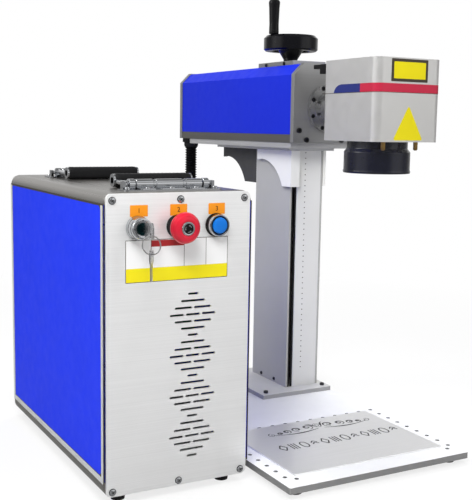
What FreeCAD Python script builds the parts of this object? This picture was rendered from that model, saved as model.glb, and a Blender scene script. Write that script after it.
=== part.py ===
import FreeCAD, Part
import math
import os
from FreeCAD import Vector, Rotation, Placement

# Desktop galvo laser engraver: a power cabinet and a lift column with an arm, joined by a hose.
# Frame: +X right, -Y front, +Z up, millimetres, origin on the floor under the middle.

doc = FreeCAD.newDocument("LaserEngraver")
sheet = doc.addObject("Spreadsheet::Sheet", "Sizes")

SIZES = {
    # cabinet
    "cabinet_x": -180, "cabinet_front": -307, "cabinet_width": 218, "cabinet_depth": 441,
    "cabinet_height": 408, "cabinet_foot_height": 12, "panel_thick": 3, "skin": 4,
    "panel_margin": 3, "panel_corner": 8, "edge_round": 15, "sill_height": 22, "side_skin": 2,
    "panel_screw_dx": 97, "panel_screw_margin": 8, "panel_screw_head": 4.5,
    "vent_x": 20, "vent_low": 41, "vent_pitch": 9.5, "vent_slot": 3.2, "vent_gap": 3,
    "switch_drop": 46, "switch_hole": 11.15, "key_x": -62, "estop_x": -5, "button_x": 53,
    "bezel_radius": 14.75, "bezel_height": 5, "fit": 0.05, "clearance": 0.3,
    "fan_size": 120, "fan_depth": 25, "fan_drop": 90, "fan_bore": 57, "fan_hub": 20,
    # stand
    "base_left": -54, "base_width": 323, "base_front": -397, "base_depth": 556, "base_thick": 10,
    "base_foot_height": 8, "base_foot_radius": 11, "base_foot_inset": 22,
    "grid_left": -39.5, "grid_front": -360, "grid_pitch": 25, "tap_radius": 2.5, "tap_depth": 8,
    "stop_hole_inset": 12, "sheet_left": -24, "sheet_width": 269, "sheet_depth": 196,
     "foot_thick": 8, "foot_left": 121, "foot_width": 147, "foot_depth": 177,
    "foot_bolt_inset": 12, "column_x": 219, "column_width": 70, "column_depth": 123,
    "column_height": 591, "wall": 4, "slot": 10.5, "lip": 3.5, "cap_thick": 9,
    "shaft_radius": 5, "shaft_dx": 22, "screw_radius": 8, "screw_y": 65, "screw_end": 6,
    # lift and arm
    "arm_width": 139, "arm_front": -60, "arm_length": 457, "arm_low": 481, "arm_height": 137,
    "arm_chamfer": 20, "end_plate": 10, "rail_height": 14, "cover_skin": 2, "reveal": 1.5,
    "tray_thick": 5, "deck_thick": 10, "support_thick": 5, "column_gap": 2,
    "bracket_drop": 65, "bracket_front": -14, "bracket_length": 121, "bracket_leg": 30,
    "bracket_head": 20, "bracket_thick": 6, "brace_length": 128, "brace_leg": 38,
    "carriage_height": 130, "carriage_front": 20, "carriage_depth": 80, "wing_thick": 3,
    "beam_z": 541, "ring_radius": 41.5, "ring_thick": 8, "tube_radius": 30,
    # scan head
    "head_left": 160, "head_width": 128, "head_front": -277, "head_depth": 147,
    "head_low": 487, "head_height": 129, "seam_height": 76, "head_corner": 14, "head_wall": 4,
    "lens_x": 220, "lens_y": -205, "lens_radius": 53.5, "neck_radius": 49, "neck_height": 12,
    "barrel_height": 39, "glass_radius": 42, "sheet_thick": 2,
    # wheel
    "wheel_radius": 50, "wheel_gap": 21, "rim_height": 28, "rim_width": 18,
    "crank_offset": 39, "grip_height": 61, "spokes": 5,
    # handles and hose
    "handle_half": 72, "handle_inset": 17, "rear_handle_inset": 67, "handle_depth": 32,
    "bail_reach": 56,
    "hose_radius": 12, "hose_bore": 9.5, "hose_root": 10.9, "hose_rib": 12.5, "hose_pitch": 5.5,
}


class Size:
    """A length that knows its number and the sheet expression that gives it."""

    def __init__(self, number, text):
        self.number = float(number)
        self.text = text

    def __add__(self, other):
        other = as_size(other)
        return Size(self.number + other.number, "(" + self.text + " + " + other.text + ")")

    def __sub__(self, other):
        other = as_size(other)
        return Size(self.number - other.number, "(" + self.text + " - " + other.text + ")")

    def __mul__(self, other):
        other = as_size(other)
        return Size(self.number * other.number, "(" + self.text + " * " + other.text + ")")

    def __truediv__(self, other):
        other = as_size(other)
        return Size(self.number / other.number, "(" + self.text + " / " + other.text + ")")

    def __neg__(self):
        return Size(-self.number, "(-1 * " + self.text + ")")

    def __radd__(self, other):
        return as_size(other) + self

    def __rsub__(self, other):
        return as_size(other) - self

    def __rmul__(self, other):
        return as_size(other) * self

    def __float__(self):
        return self.number


def as_size(value):
    if isinstance(value, Size):
        return value
    return Size(value, "(" + repr(float(value)) + ")")


class Sheet:
    """The driving dimensions as attributes, each a Size bound to its cell."""


S = Sheet()
for row, (alias, value) in enumerate(SIZES.items(), start=1):
    sheet.set("A%d" % row, alias)
    sheet.set("B%d" % row, str(value))
    sheet.setAlias("B%d" % row, alias)
    setattr(S, alias, Size(value, "Sizes." + alias))
doc.recompute()

AXIS_TURN = {
    "X": Rotation(Vector(0, 1, 0), 90),
    "Y": Rotation(Vector(1, 0, 0), -90),
    "Z": Rotation(),
}
PIECES = []


def bind(obj, name, size):
    obj.setExpression(name, as_size(size).text)


def bind_place(obj, x, y, z):
    for name, size in (("x", x), ("y", y), ("z", z)):
        bind(obj, ".Placement.Base." + name, size)


def block(x0, x1, y0, y1, z0, z1):
    """A box between two corners."""
    obj = doc.addObject("Part::Box", "Block")
    bind(obj, "Length", as_size(x1) - x0)
    bind(obj, "Width", as_size(y1) - y0)
    bind(obj, "Height", as_size(z1) - z0)
    bind_place(obj, x0, y0, z0)
    return obj


def rod(axis, x, y, z, length, radius):
    """A cylinder from a point along +X, +Y or +Z."""
    obj = doc.addObject("Part::Cylinder", "Rod")
    obj.Placement = Placement(Vector(), AXIS_TURN[axis])
    bind(obj, "Radius", radius)
    bind(obj, "Height", length)
    bind_place(obj, x, y, z)
    return obj


def cone(axis, x, y, z, length, radius, end_radius):
    obj = doc.addObject("Part::Cone", "Cone")
    obj.Placement = Placement(Vector(), AXIS_TURN[axis])
    bind(obj, "Radius1", radius)
    bind(obj, "Radius2", end_radius)
    bind(obj, "Height", length)
    bind_place(obj, x, y, z)
    return obj


def fuse(*shapes):
    if len(shapes) == 1:
        return shapes[0]
    obj = doc.addObject("Part::MultiFuse", "Fuse")
    obj.Shapes = list(shapes)
    obj.Refine = True
    return obj


def cut(base, *tools):
    obj = doc.addObject("Part::Cut", "Cut")
    obj.Base = base
    obj.Tool = fuse(*tools)
    obj.Refine = True
    return obj


def group(shapes):
    obj = doc.addObject("Part::Compound", "Group")
    obj.Links = list(shapes)
    return obj


def feature(shape, name="Feature"):
    obj = doc.addObject("Part::Feature", name)
    obj.Shape = shape
    return obj


def prism(plane, start, thick, outline):
    """A face drawn on YZ, XZ or XY at start, pushed along that plane's normal."""
    spots = {"YZ": lambda a, b: Vector(float(start), a, b),
             "XZ": lambda a, b: Vector(a, float(start), b),
             "XY": lambda a, b: Vector(a, b, float(start))}[plane]
    push = {"YZ": Vector(float(thick), 0, 0), "XZ": Vector(0, float(thick), 0),
            "XY": Vector(0, 0, float(thick))}[plane]
    edges = []
    last = None
    first = None
    for step in outline:
        kind = step[0]
        point = spots(float(step[-2]), float(step[-1]))
        if kind == "to" and last is None:
            first = point
        elif kind == "to":
            edges.append(Part.LineSegment(last, point).toShape())
        elif kind == "arc":
            middle = spots(float(step[1]), float(step[2]))
            edges.append(Part.Arc(last, middle, point).toShape())
        last = point
    if last.distanceToPoint(first) > 1e-6:
        edges.append(Part.LineSegment(last, first).toShape())
    return feature(Part.Face(Part.Wire(edges)).extrude(push))


def rounded(plane, a0, a1, b0, b1, start, thick, radius):
    """A plate with four round corners."""
    a0, a1, b0, b1, r = (float(v) for v in (a0, a1, b0, b1, radius))
    k = r * (1 - math.sqrt(0.5))
    outline = [("to", a0 + r, b0), ("to", a1 - r, b0), ("arc", a1 - k, b0 + k, a1, b0 + r),
               ("to", a1, b1 - r), ("arc", a1 - k, b1 - k, a1 - r, b1),
               ("to", a0 + r, b1), ("arc", a0 + k, b1 - k, a0, b1 - r),
               ("to", a0, b0 + r), ("arc", a0 + k, b0 + k, a0 + r, b0)]
    return prism(plane, start, thick, outline)


def turned(axis, x, y, z, profile):
    """A solid of revolution from (radius, height) points, its heights along the axis."""
    points = [Vector(float(r), 0, float(h)) for r, h in profile]
    face = Part.Face(Part.makePolygon(points + points[:1]))
    shape = face.revolve(Vector(), Vector(0, 0, 1), 360)
    obj = feature(shape)
    obj.Placement = Placement(Vector(float(x), float(y), float(z)), AXIS_TURN[axis])
    return obj


def piece(name, obj):
    """Names a finished sub-part and keeps it for writing."""
    obj.Label = name
    PIECES.append(obj)
    return obj


# Places worked out from the driving dimensions

CAB_LEFT = S.cabinet_x - S.cabinet_width / 2
CAB_RIGHT = S.cabinet_x + S.cabinet_width / 2
CAB_LOW = S.cabinet_foot_height
CAB_TOP = CAB_LOW + S.cabinet_height
SHELL_FRONT = S.cabinet_front + S.panel_thick
SHELL_BACK = S.cabinet_front + S.cabinet_depth - S.panel_thick
REAR_FACE = S.cabinet_front + S.cabinet_depth
PANEL_LEFT = CAB_LEFT + S.panel_margin
PANEL_RIGHT = CAB_RIGHT - S.panel_margin
PANEL_LOW = CAB_LOW + 1
PANEL_TOP = CAB_TOP - 1
PLATE_LOW = S.base_foot_height
PLATE_TOP = PLATE_LOW + S.base_thick
FOOT_TOP = PLATE_TOP + S.foot_thick
COL_LEFT = S.column_x - S.column_width / 2
COL_RIGHT = S.column_x + S.column_width / 2
COL_TOP = FOOT_TOP + S.column_height
CAP_TOP = COL_TOP + S.cap_thick
ARM_LEFT = S.column_x - S.arm_width / 2
ARM_RIGHT = S.column_x + S.arm_width / 2
ARM_BACK = S.arm_front + S.arm_length
ARM_TOP = S.arm_low + S.arm_height
DECK_LOW = S.arm_low - S.deck_thick
SUPPORT_LOW = DECK_LOW - S.support_thick
HEAD_RIGHT = S.head_left + S.head_width
HEAD_BACK = S.head_front + S.head_depth
HEAD_TOP = S.head_low + S.head_height
SEAM = S.head_low + S.seam_height
SWITCH_Z = CAB_TOP - S.switch_drop
FAN_Z = CAB_TOP - S.fan_drop
WHEEL_LOW = CAP_TOP + S.wheel_gap
HOSE_EXIT = (165, 372)
HOSE_ENTRY = (-222, 150)


# Cabinet

def cabinet_top():
    r = float(S.edge_round)
    t = float(S.skin)
    x0, x1, z1 = float(CAB_LEFT), float(CAB_RIGHT), float(CAB_TOP)
    z0 = z1 - r
    k = r * (1 - math.sqrt(0.5))
    q = (r - t) * (1 - math.sqrt(0.5))
    outline = [("to", x0, z0), ("arc", x0 + k, z1 - k, x0 + r, z1), ("to", x1 - r, z1),
               ("arc", x1 - k, z1 - k, x1, z0), ("to", x1 - t, z0),
               ("arc", x1 - t - q, z1 - t - q, x1 - r, z1 - t), ("to", x0 + r, z1 - t),
               ("arc", x0 + t + q, z1 - t - q, x0 + t, z0)]
    shell = prism("XZ", SHELL_FRONT, SHELL_BACK - SHELL_FRONT, outline)
    return piece("cabinet_top", fuse(shell, *screw_bosses(CAB_TOP - S.skin - 11, 11)))


def screw_bosses(low, height):
    """Solid strips behind the end panels that their screws bite into."""
    half = S.panel_screw_margin / 2 + 2
    bosses = []
    for dx in (-S.panel_screw_dx, as_size(0), S.panel_screw_dx):
        x = S.cabinet_x + dx
        bosses.append(block(x - half, x + half, SHELL_FRONT, SHELL_BACK, low, low + height))
    return bosses


def cabinet_base():
    """Floor and sills of the shell, with the same round edges as its top."""
    r = float(S.edge_round)
    t = float(S.skin)
    x0, x1, z0 = float(CAB_LEFT), float(CAB_RIGHT), float(CAB_LOW)
    sill = float(CAB_LOW + S.sill_height)
    k = r * (1 - math.sqrt(0.5))
    q = (r - t) * (1 - math.sqrt(0.5))
    outline = [("to", x0, sill), ("to", x0, z0 + r), ("arc", x0 + k, z0 + k, x0 + r, z0),
               ("to", x1 - r, z0), ("arc", x1 - k, z0 + k, x1, z0 + r), ("to", x1, sill),
               ("to", x1 - t, sill), ("to", x1 - t, z0 + r),
               ("arc", x1 - t - q, z0 + t + q, x1 - r, z0 + t), ("to", x0 + r, z0 + t),
               ("arc", x0 + t + q, z0 + t + q, x0 + t, z0 + r), ("to", x0 + t, sill)]
    shell = prism("XZ", SHELL_FRONT, SHELL_BACK - SHELL_FRONT, outline)
    return piece("cabinet_base", fuse(shell, *screw_bosses(CAB_LOW + S.skin, 10)))


def cabinet_side(name, x):
    low = CAB_LOW + S.sill_height
    high = CAB_TOP - S.edge_round
    return piece(name, block(x, x + S.side_skin, SHELL_FRONT, SHELL_BACK, low, high))


def switch_spots():
    return [S.cabinet_x + dx for dx in (S.key_x, S.estop_x, S.button_x)]


def panel_screw_spots():
    rows = (CAB_LOW + S.panel_screw_margin, CAB_TOP - S.panel_screw_margin - 2)
    spots = []
    for z in rows:
        for dx in (-S.panel_screw_dx, as_size(0), S.panel_screw_dx):
            spots.append((S.cabinet_x + dx, z))
    return spots


# Each row of the vent: how many slots it has and the length of each
VENT_CYCLE = [(1, 15.5), (1, 36), (2, 26), (3, 21), (2, 26), (1, 36)]
VENT_ROWS = 25


def vent_slots():
    slots = []
    for row in range(VENT_ROWS):
        count, length = VENT_CYCLE[row % len(VENT_CYCLE)]
        z = CAB_LOW + S.vent_low + row * S.vent_pitch
        pitch = length + S.vent_gap
        for i in range(count):
            x = S.cabinet_x + S.vent_x + (i - (count - 1) / 2) * pitch
            slots.append(rounded("XZ", x - length / 2, x + length / 2, z - S.vent_slot / 2,
                                 z + S.vent_slot / 2, S.cabinet_front - 1, S.panel_thick + 2,
                                 float(S.vent_slot) * 0.48))
    return slots


def front_panel():
    plate = rounded("XZ", PANEL_LEFT, PANEL_RIGHT, PANEL_LOW, PANEL_TOP, S.cabinet_front,
                    S.panel_thick, S.panel_corner)
    holes = [rod("Y", x, S.cabinet_front - 1, SWITCH_Z, S.panel_thick + 2, S.switch_hole)
             for x in switch_spots()]
    holes += screw_holes(S.cabinet_front)
    return piece("front_panel", cut(plate, *(holes + vent_slots())))


def screw_holes(y):
    return [rod("Y", x, y - 1, z, S.panel_thick + 2, 2.1) for x, z in panel_screw_spots()]


FAN_SLOTS = 10


def rear_panel():
    plate = rounded("XZ", PANEL_LEFT, PANEL_RIGHT, PANEL_LOW, PANEL_TOP, SHELL_BACK,
                    S.panel_thick, S.panel_corner)
    fan_z = FAN_Z
    slots = []
    for i in range(FAN_SLOTS):
        z = fan_z + (i - (FAN_SLOTS - 1) / 2) * 10
        half = math.sqrt(50 ** 2 - (float(z) - float(fan_z)) ** 2)
        slots.append(rounded("XZ", S.cabinet_x - half, S.cabinet_x + half, z - 2.5, z + 2.5,
                             SHELL_BACK - 1, S.panel_thick + 2, 2.4))
    gland = rod("Y", HOSE_ENTRY[0], SHELL_BACK - 1, HOSE_ENTRY[1], S.panel_thick + 2, 12.2)
    inlet = block(INLET_X - 14, INLET_X + 14, SHELL_BACK - 1, REAR_FACE + 1,
                  INLET_Z - 10.5, INLET_Z + 10.5)
    holes = screw_holes(SHELL_BACK) + slots + [gland, inlet]
    return piece("rear_panel", cut(plate, *holes))


INLET_X = S.cabinet_x + 50
INLET_Z = CAB_LOW + 52


def mains_inlet():
    flange = rounded("XZ", INLET_X - 25, INLET_X + 25, INLET_Z - 13, INLET_Z + 13, REAR_FACE,
                     3, 4)
    body = block(INLET_X - 13.8, INLET_X + 13.8, REAR_FACE - 20, REAR_FACE, INLET_Z - 10.3,
                 INLET_Z + 10.3)
    mouth = block(INLET_X - 12, INLET_X + 12, REAR_FACE - 14, REAR_FACE + 4, INLET_Z - 8,
                  INLET_Z + 8)
    pins = [block(INLET_X + dx - 1, INLET_X + dx + 1, REAR_FACE - 15, REAR_FACE - 5,
                  INLET_Z - 2, INLET_Z + 2) for dx in (-7, 0, 7)]
    return piece("mains_inlet", fuse(cut(fuse(flange, body), mouth), *pins))


def gland(axis, x, y, z, sign):
    """A hose gland: a hexagon-like nut and a collar that the hose end butts on."""
    nut_at = 0 if sign > 0 else -8
    collar_at = 8 if sign > 0 else -18
    step = {"Y": (0, 1, 0), "Z": (0, 0, 1)}[axis]
    nut = rod(axis, x + step[0] * nut_at, y + step[1] * nut_at, z + step[2] * nut_at, 8, 17)
    collar = rod(axis, x, y + step[1] * collar_at, z + step[2] * collar_at, 10, 14)
    bore_at = 0 if sign > 0 else -18
    bore = rod(axis, x, y + step[1] * bore_at, z + step[2] * bore_at, 18, S.hose_bore)
    return cut(fuse(nut, collar), bore)


def laser_source():
    x0 = S.cabinet_x - 82
    low = CAB_LOW + S.skin + 10
    body = block(x0, x0 + 164, S.cabinet_front + 60, S.cabinet_front + 300, low, low + 74)
    fins = [block(x0 + 6 + 12 * i, x0 + 10 + 12 * i, S.cabinet_front + 60,
                  S.cabinet_front + 300, low + 74, low + 84) for i in range(13)]
    return piece("laser_source", fuse(body, *fins))


def power_supply():
    x0 = CAB_LEFT + S.side_skin + 2
    return piece("power_supply", block(x0 + 2.2, x0 + 52.2, S.cabinet_front + 310,
                                       S.cabinet_front + 420, CAB_LOW + S.skin + 10,
                                       CAB_LOW + S.skin + 225))


def control_board():
    face = CAB_RIGHT - S.side_skin
    board = block(face - 12, face - 10.4, S.cabinet_front + 150, S.cabinet_front + 310,
                  CAB_LOW + 140, CAB_LOW + 260)
    posts = [rod("X", face - 10.4, S.cabinet_front + y, CAB_LOW + z, 10.4, 3)
             for y in (160, 300) for z in (150, 250)]
    chips = [block(face - 18, face - 12, S.cabinet_front + 175 + 40 * i,
                   S.cabinet_front + 200 + 40 * i, CAB_LOW + 170, CAB_LOW + 205)
             for i in range(3)]
    return piece("control_board", fuse(board, *(posts + chips)))


def fan_frame():
    half = S.fan_size / 2
    z = FAN_Z
    front = SHELL_BACK - S.fan_depth
    frame = rounded("XZ", S.cabinet_x - half, S.cabinet_x + half, z - half, z + half, front,
                    S.fan_depth, 8)
    bore = rod("Y", S.cabinet_x, front - 1, z, S.fan_depth + 2, S.fan_bore)
    ring = cut(frame, bore)
    arms = [block(S.cabinet_x - half + 2, S.cabinet_x + half - 2, SHELL_BACK - 4,
                  SHELL_BACK - 1, z - 2, z + 2),
            block(S.cabinet_x - 2, S.cabinet_x + 2, SHELL_BACK - 4, SHELL_BACK - 1,
                  z - half + 2, z + half - 2)]
    stub = rod("Y", S.cabinet_x, front + 6, z, S.fan_depth - 8, 3)
    return piece("fan_frame", fuse(ring, stub, *arms))


FAN_BLADES = 7


def fan_rotor():
    """Hub with flat tilted blades, each turned a part of a circle from the last."""
    front = SHELL_BACK - S.fan_depth
    hub = rod("Y", S.cabinet_x, front + 2, FAN_Z, S.fan_depth - 8, S.fan_hub)
    centre = Vector(float(S.cabinet_x), float(front) + 4, float(FAN_Z))
    reach = float(S.fan_bore) - 2
    inner = float(S.fan_hub) - 3
    blades = []
    for i in range(FAN_BLADES):
        turn = Rotation(Vector(0, 1, 0), 360 * (i + 0.37) / FAN_BLADES)
        corners = [(inner, 0, -3), (reach, 0, -3), (reach, 0, -1), (inner, 0, -1)]
        wire = [centre + turn.multVec(Vector(*c)) for c in corners]
        face = Part.Face(Part.makePolygon(wire + wire[:1]))
        lean = turn.multVec(Vector(0, 11, 6))
        blades.append(feature(face.extrude(lean)))
    bore = rod("Y", S.cabinet_x, front + 1, FAN_Z, S.fan_depth, 3 + S.fit)
    return piece("fan_rotor", cut(fuse(hub, *blades), bore))


# Controls on the front panel

def switch_body(x, bore_radius, height, depth=16):
    """Bezel in front of the panel, barrel through it and contact block behind it."""
    front = S.cabinet_front
    bezel = cone("Y", x, front - height, SWITCH_Z, height, S.bezel_radius - 1.2, S.bezel_radius)
    barrel = rod("Y", x, front, SWITCH_Z, 22, S.switch_hole - S.clearance)
    block_behind = block(x - 14, x + 14, front + 20, front + 50, SWITCH_Z - 17, SWITCH_Z + 17)
    nut = rod("Y", x, front + S.panel_thick, SWITCH_Z, 4, 14)
    bore = rod("Y", x, front - height - 1, SWITCH_Z, height + depth, bore_radius)
    return cut(fuse(bezel, barrel, block_behind, nut), bore)


KEY_REACH = 18
KEY_BORE = 8


def key_switch():
    x = S.cabinet_x + S.key_x
    return piece("key_switch", switch_body(x, KEY_BORE + S.fit, as_size(KEY_REACH)))


BOW_HOLE_Y = -30
BOW_HOLE_Z = -5


def key_cylinder():
    x = S.cabinet_x + S.key_x
    front = S.cabinet_front - KEY_REACH
    plug = rod("Y", x, front - 1, SWITCH_Z, KEY_REACH + 12, KEY_BORE)
    blade = block(x - 1.1, x + 1.1, front - 10, front + 1, SWITCH_Z - 4, SWITCH_Z + 4)
    bow = rounded("YZ", front - 34, front - 8, SWITCH_Z - 11, SWITCH_Z + 11, x - 1.1, 2.2, 6)
    hole = rod("X", x - 2, front + BOW_HOLE_Y + 2, SWITCH_Z + BOW_HOLE_Z, 4, 3)
    return piece("key_cylinder", cut(fuse(plug, blade, bow), hole))


RING_RADIUS = 12
RING_WIRE = 0.8
RING_TURN = -40


def key_ring():
    """Split ring through the key's bow, with a spare key hanging from it."""
    x = float(S.cabinet_x + S.key_x)
    y = float(S.cabinet_front) - KEY_REACH + BOW_HOLE_Y + 2
    top = float(SWITCH_Z) + BOW_HOLE_Z - 1.4
    turn = Rotation(Vector(0, 0, 1), RING_TURN)
    torus = Part.makeTorus(RING_RADIUS, RING_WIRE)
    torus.Placement = Placement(Vector(x, y, top - RING_RADIUS + RING_WIRE),
                                turn.multiply(Rotation(Vector(1, 0, 0), 90)))
    ring = feature(torus)
    low = top - 2 * RING_RADIUS + RING_WIRE + 4
    bow = rounded("YZ", -8, 8, -16, 2, -0.9, 1.8, 5)
    blade = block(-0.9, 0.9, -3, 3, -38, -15)
    eye = rod("X", -2, 0, -2.2, 4, 2.2)
    spare = cut(fuse(bow, blade), eye)
    spare.Placement = Placement(Vector(x, y, low), turn)
    return piece("key_ring", group([ring, spare]))


ESTOP_STEM = 9
ESTOP_BASE = 8


def estop():
    x = S.cabinet_x + S.estop_x
    front = S.cabinet_front
    base = piece("estop_base", switch_body(x, ESTOP_STEM + S.fit, as_size(ESTOP_BASE), 19))
    stem = rod("Y", x, front - 24, SWITCH_Z, 36, ESTOP_STEM)
    piece("estop_plunger", stem)
    head = turned("Y", x, front - 35, SWITCH_Z,
                  [(0, 2), (8, 2), (8.5, 0.6), (12, 0), (17, 2), (20, 6), (21, 10), (20, 14),
                   (15, 20), (11, 21.5), (0, 21.5)])
    socket = rod("Y", x, front - 24.3, SWITCH_Z, 40, ESTOP_STEM + S.fit)
    piece("estop_head", cut(head, socket))
    return base


BUTTON_CAP = 11


def push_button():
    x = S.cabinet_x + S.button_x
    front = S.cabinet_front
    body = switch_body(x, BUTTON_CAP + S.fit, as_size(12), 0.5)
    piece("button_bezel", cut(body, rod("Y", x, front - 1, SWITCH_Z, 9, 4 + S.fit)))
    cap = turned("Y", x, front - 14, SWITCH_Z,
                 [(0, 0), (BUTTON_CAP - 1.5, 0), (BUTTON_CAP, 1.2), (BUTTON_CAP, 8), (4, 8),
                  (4, 14), (0, 14)])
    piece("button_cap", cap)


# Fold-down carrying handles on the cabinet top

def handle_spots():
    """Each handle: pivot line, fold direction and the outer edge of its plate."""
    near = S.cabinet_front + S.handle_inset
    far = REAR_FACE - S.rear_handle_inset
    return [("front_bail", near, 1), ("rear_bail", far, -1)]


def handle_plates():
    plates = []
    for _, edge, way in handle_spots():
        inner = edge + S.handle_depth * way
        y0, y1 = (edge, inner) if way > 0 else (inner, edge)
        plate = rounded("XY", S.cabinet_x - S.handle_half, S.cabinet_x + S.handle_half, y0, y1,
                        CAB_TOP, 2, 5)
        pivot = edge + (S.handle_depth - 9) * way
        pin = rod("X", S.cabinet_x - S.handle_half + 4, pivot, CAB_TOP + 8,
                  S.handle_half * 2 - 8, 2.5)
        barrel = rod("X", S.cabinet_x - 42, pivot, CAB_TOP + 8, 84, 6)
        saddle = block(S.cabinet_x - 42, S.cabinet_x + 42, pivot - 5, pivot + 5, CAB_TOP + 1,
                       CAB_TOP + 7)
        ears = [block(x - 2, x + 2, pivot - 5, pivot + 5, CAB_TOP + 1, CAB_TOP + 12)
                for x in (S.cabinet_x - S.handle_half + 6, S.cabinet_x + S.handle_half - 6)]
        plates.append(fuse(plate, pin, barrel, saddle, *ears))
    return piece("handle_plates", group(plates))


def bails():
    for name, edge, way in handle_spots():
        pivot = edge + (S.handle_depth - 9) * way
        grip_y = pivot + S.bail_reach * way
        z = CAB_TOP + 8
        parts = []
        for side in (-1, 1):
            x = S.cabinet_x + side * (S.handle_half - 17)
            eye = rod("X", x - 4, pivot, z, 8, 6)
            y0, y1 = (pivot, grip_y) if way > 0 else (grip_y, pivot)
            parts.append(eye)
            parts.append(rod("Y", x, y0, z, y1 - y0, 3.2))
        grip = rod("X", S.cabinet_x - S.handle_half + 12, grip_y, z + 2,
                   S.handle_half * 2 - 24, 9)
        holes = rod("X", S.cabinet_x - S.handle_half, pivot, z, S.handle_half * 2, 2.5 + S.fit)
        piece(name, cut(fuse(grip, *parts), holes))


# Stand

GRID_COLUMNS = 13
GRID_ROWS = 9


def grid_spots():
    """Tapped holes along the left, right and back edges of the work area."""
    spots = []
    for row in range(GRID_ROWS):
        y = S.grid_front + row * S.grid_pitch
        for column in range(GRID_COLUMNS):
            edge = column in (0, GRID_COLUMNS - 1) or row == GRID_ROWS - 1
            if edge:
                spots.append((S.grid_left + column * S.grid_pitch, y))
    last = S.grid_left + (GRID_COLUMNS - 1) * S.grid_pitch
    spots.append((S.grid_left + S.stop_hole_inset, S.grid_front - S.stop_hole_inset))
    spots.append((last - S.stop_hole_inset, S.grid_front - S.stop_hole_inset))
    return spots


def base_plate():
    plate = rounded("XY", S.base_left, S.base_left + S.base_width, S.base_front,
                    S.base_front + S.base_depth, PLATE_LOW, S.base_thick, 3)
    holes = [rod("Z", x, y, PLATE_TOP - S.tap_depth, S.tap_depth + 1, S.tap_radius)
             for x, y in grid_spots()]
    return piece("base_plate", cut(plate, *holes))


def rubber_feet():
    feet = []
    inset = S.base_foot_inset
    for x in (S.base_left + inset, S.base_left + S.base_width - inset):
        for y in (S.base_front + inset, S.base_front + S.base_depth - inset):
            feet.append(cone("Z", x, y, 0, PLATE_LOW, S.base_foot_radius - 1.5,
                             S.base_foot_radius))
    for dx in (-80, 80):
        for y in (S.cabinet_front + 25, REAR_FACE - 25):
            feet.append(cone("Z", S.cabinet_x + dx, y, 0, CAB_LOW, 9.5, 11))
    return piece("rubber_feet", group(feet))


def foot_bolt_spots():
    inset = S.foot_bolt_inset
    y0 = -(S.foot_depth - S.column_depth) / 2
    return [(x, y) for x in (S.foot_left + inset, S.foot_left + S.foot_width - inset)
            for y in (y0 + inset, y0 + S.foot_depth - inset)]


def column_foot():
    y0 = -(S.foot_depth - S.column_depth) / 2
    plate = rounded("XY", S.foot_left, S.foot_left + S.foot_width, y0, y0 + S.foot_depth,
                    PLATE_TOP, S.foot_thick, 1.5)
    return piece("column_foot", plate)


def column_housing():
    outer = block(COL_LEFT, COL_RIGHT, 0, S.column_depth, FOOT_TOP, COL_TOP)
    inner = block(COL_LEFT + S.wall, COL_RIGHT - S.wall, -1, S.column_depth - S.wall - 1,
                  FOOT_TOP - 1, COL_TOP + 1)
    return piece("column_housing", cut(outer, inner))


def column_cover():
    left = COL_LEFT + S.wall + S.slot
    right = COL_RIGHT - S.wall
    return piece("column_cover", block(left, right, 0, S.panel_thick, FOOT_TOP, COL_TOP))


def dust_lips():
    edges = (COL_LEFT + S.wall, COL_LEFT + S.wall + S.slot - S.lip)
    lips = [block(x, x + S.lip, 1, S.panel_thick, FOOT_TOP, COL_TOP) for x in edges]
    return piece("dust_lips", group(lips))


BEARING_HEIGHT = 8


def column_cap():
    cap = block(COL_LEFT, COL_RIGHT, 0, S.column_depth, COL_TOP, CAP_TOP)
    bore = rod("Z", S.column_x, S.screw_y, COL_TOP - 1, S.cap_thick + 2, S.screw_end + 1)
    return piece("column_cap", cut(cap, bore))


def screw_bearings():
    rings = []
    for z in (FOOT_TOP, COL_TOP - BEARING_HEIGHT):
        ring = rod("Z", S.column_x, S.screw_y, z, BEARING_HEIGHT, 15)
        rings.append(cut(ring, rod("Z", S.column_x, S.screw_y, z - 1, BEARING_HEIGHT + 2,
                                   S.screw_end + S.fit)))
    return piece("screw_bearings", group(rings))


def guide_shafts():
    shafts = [rod("Z", S.column_x + side * S.shaft_dx, S.screw_y, FOOT_TOP, S.column_height,
                  S.shaft_radius) for side in (-1, 1)]
    return piece("guide_shafts", group(shafts))


def work_sheet():
    front = S.grid_front - 1
    return piece("work_sheet", block(S.sheet_left, S.sheet_left + S.sheet_width, front,
                                     front + S.sheet_depth, PLATE_TOP,
                                     PLATE_TOP + S.sheet_thick))


def root_screws():
    """Pan head screws of the cabinet panels, bolts of the column foot and the cap's side."""
    screws = []
    for x, z in panel_screw_spots():
        for face, way in ((S.cabinet_front, -1), (REAR_FACE, 1)):
            y = face - 2.5 if way < 0 else face
            shank = face if way < 0 else face - 3
            screws.append(fuse(rod("Y", x, y, z, 2.5, S.panel_screw_head),
                               rod("Y", x, shank, z, 3, 2)))
    for x, y in foot_bolt_spots():
        head = cut(rod("Z", x, y, FOOT_TOP, 5, 5), rod("Z", x, y, FOOT_TOP + 2, 4, 2.4))
        screws.append(head)
    for y in (30, 93):
        screws.append(rod("X", COL_LEFT - 1.5, y, CAP_TOP - S.cap_thick / 2, 1.5, 3))
    return piece("root_screws", group(screws))


# Handwheel and lead screw

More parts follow.
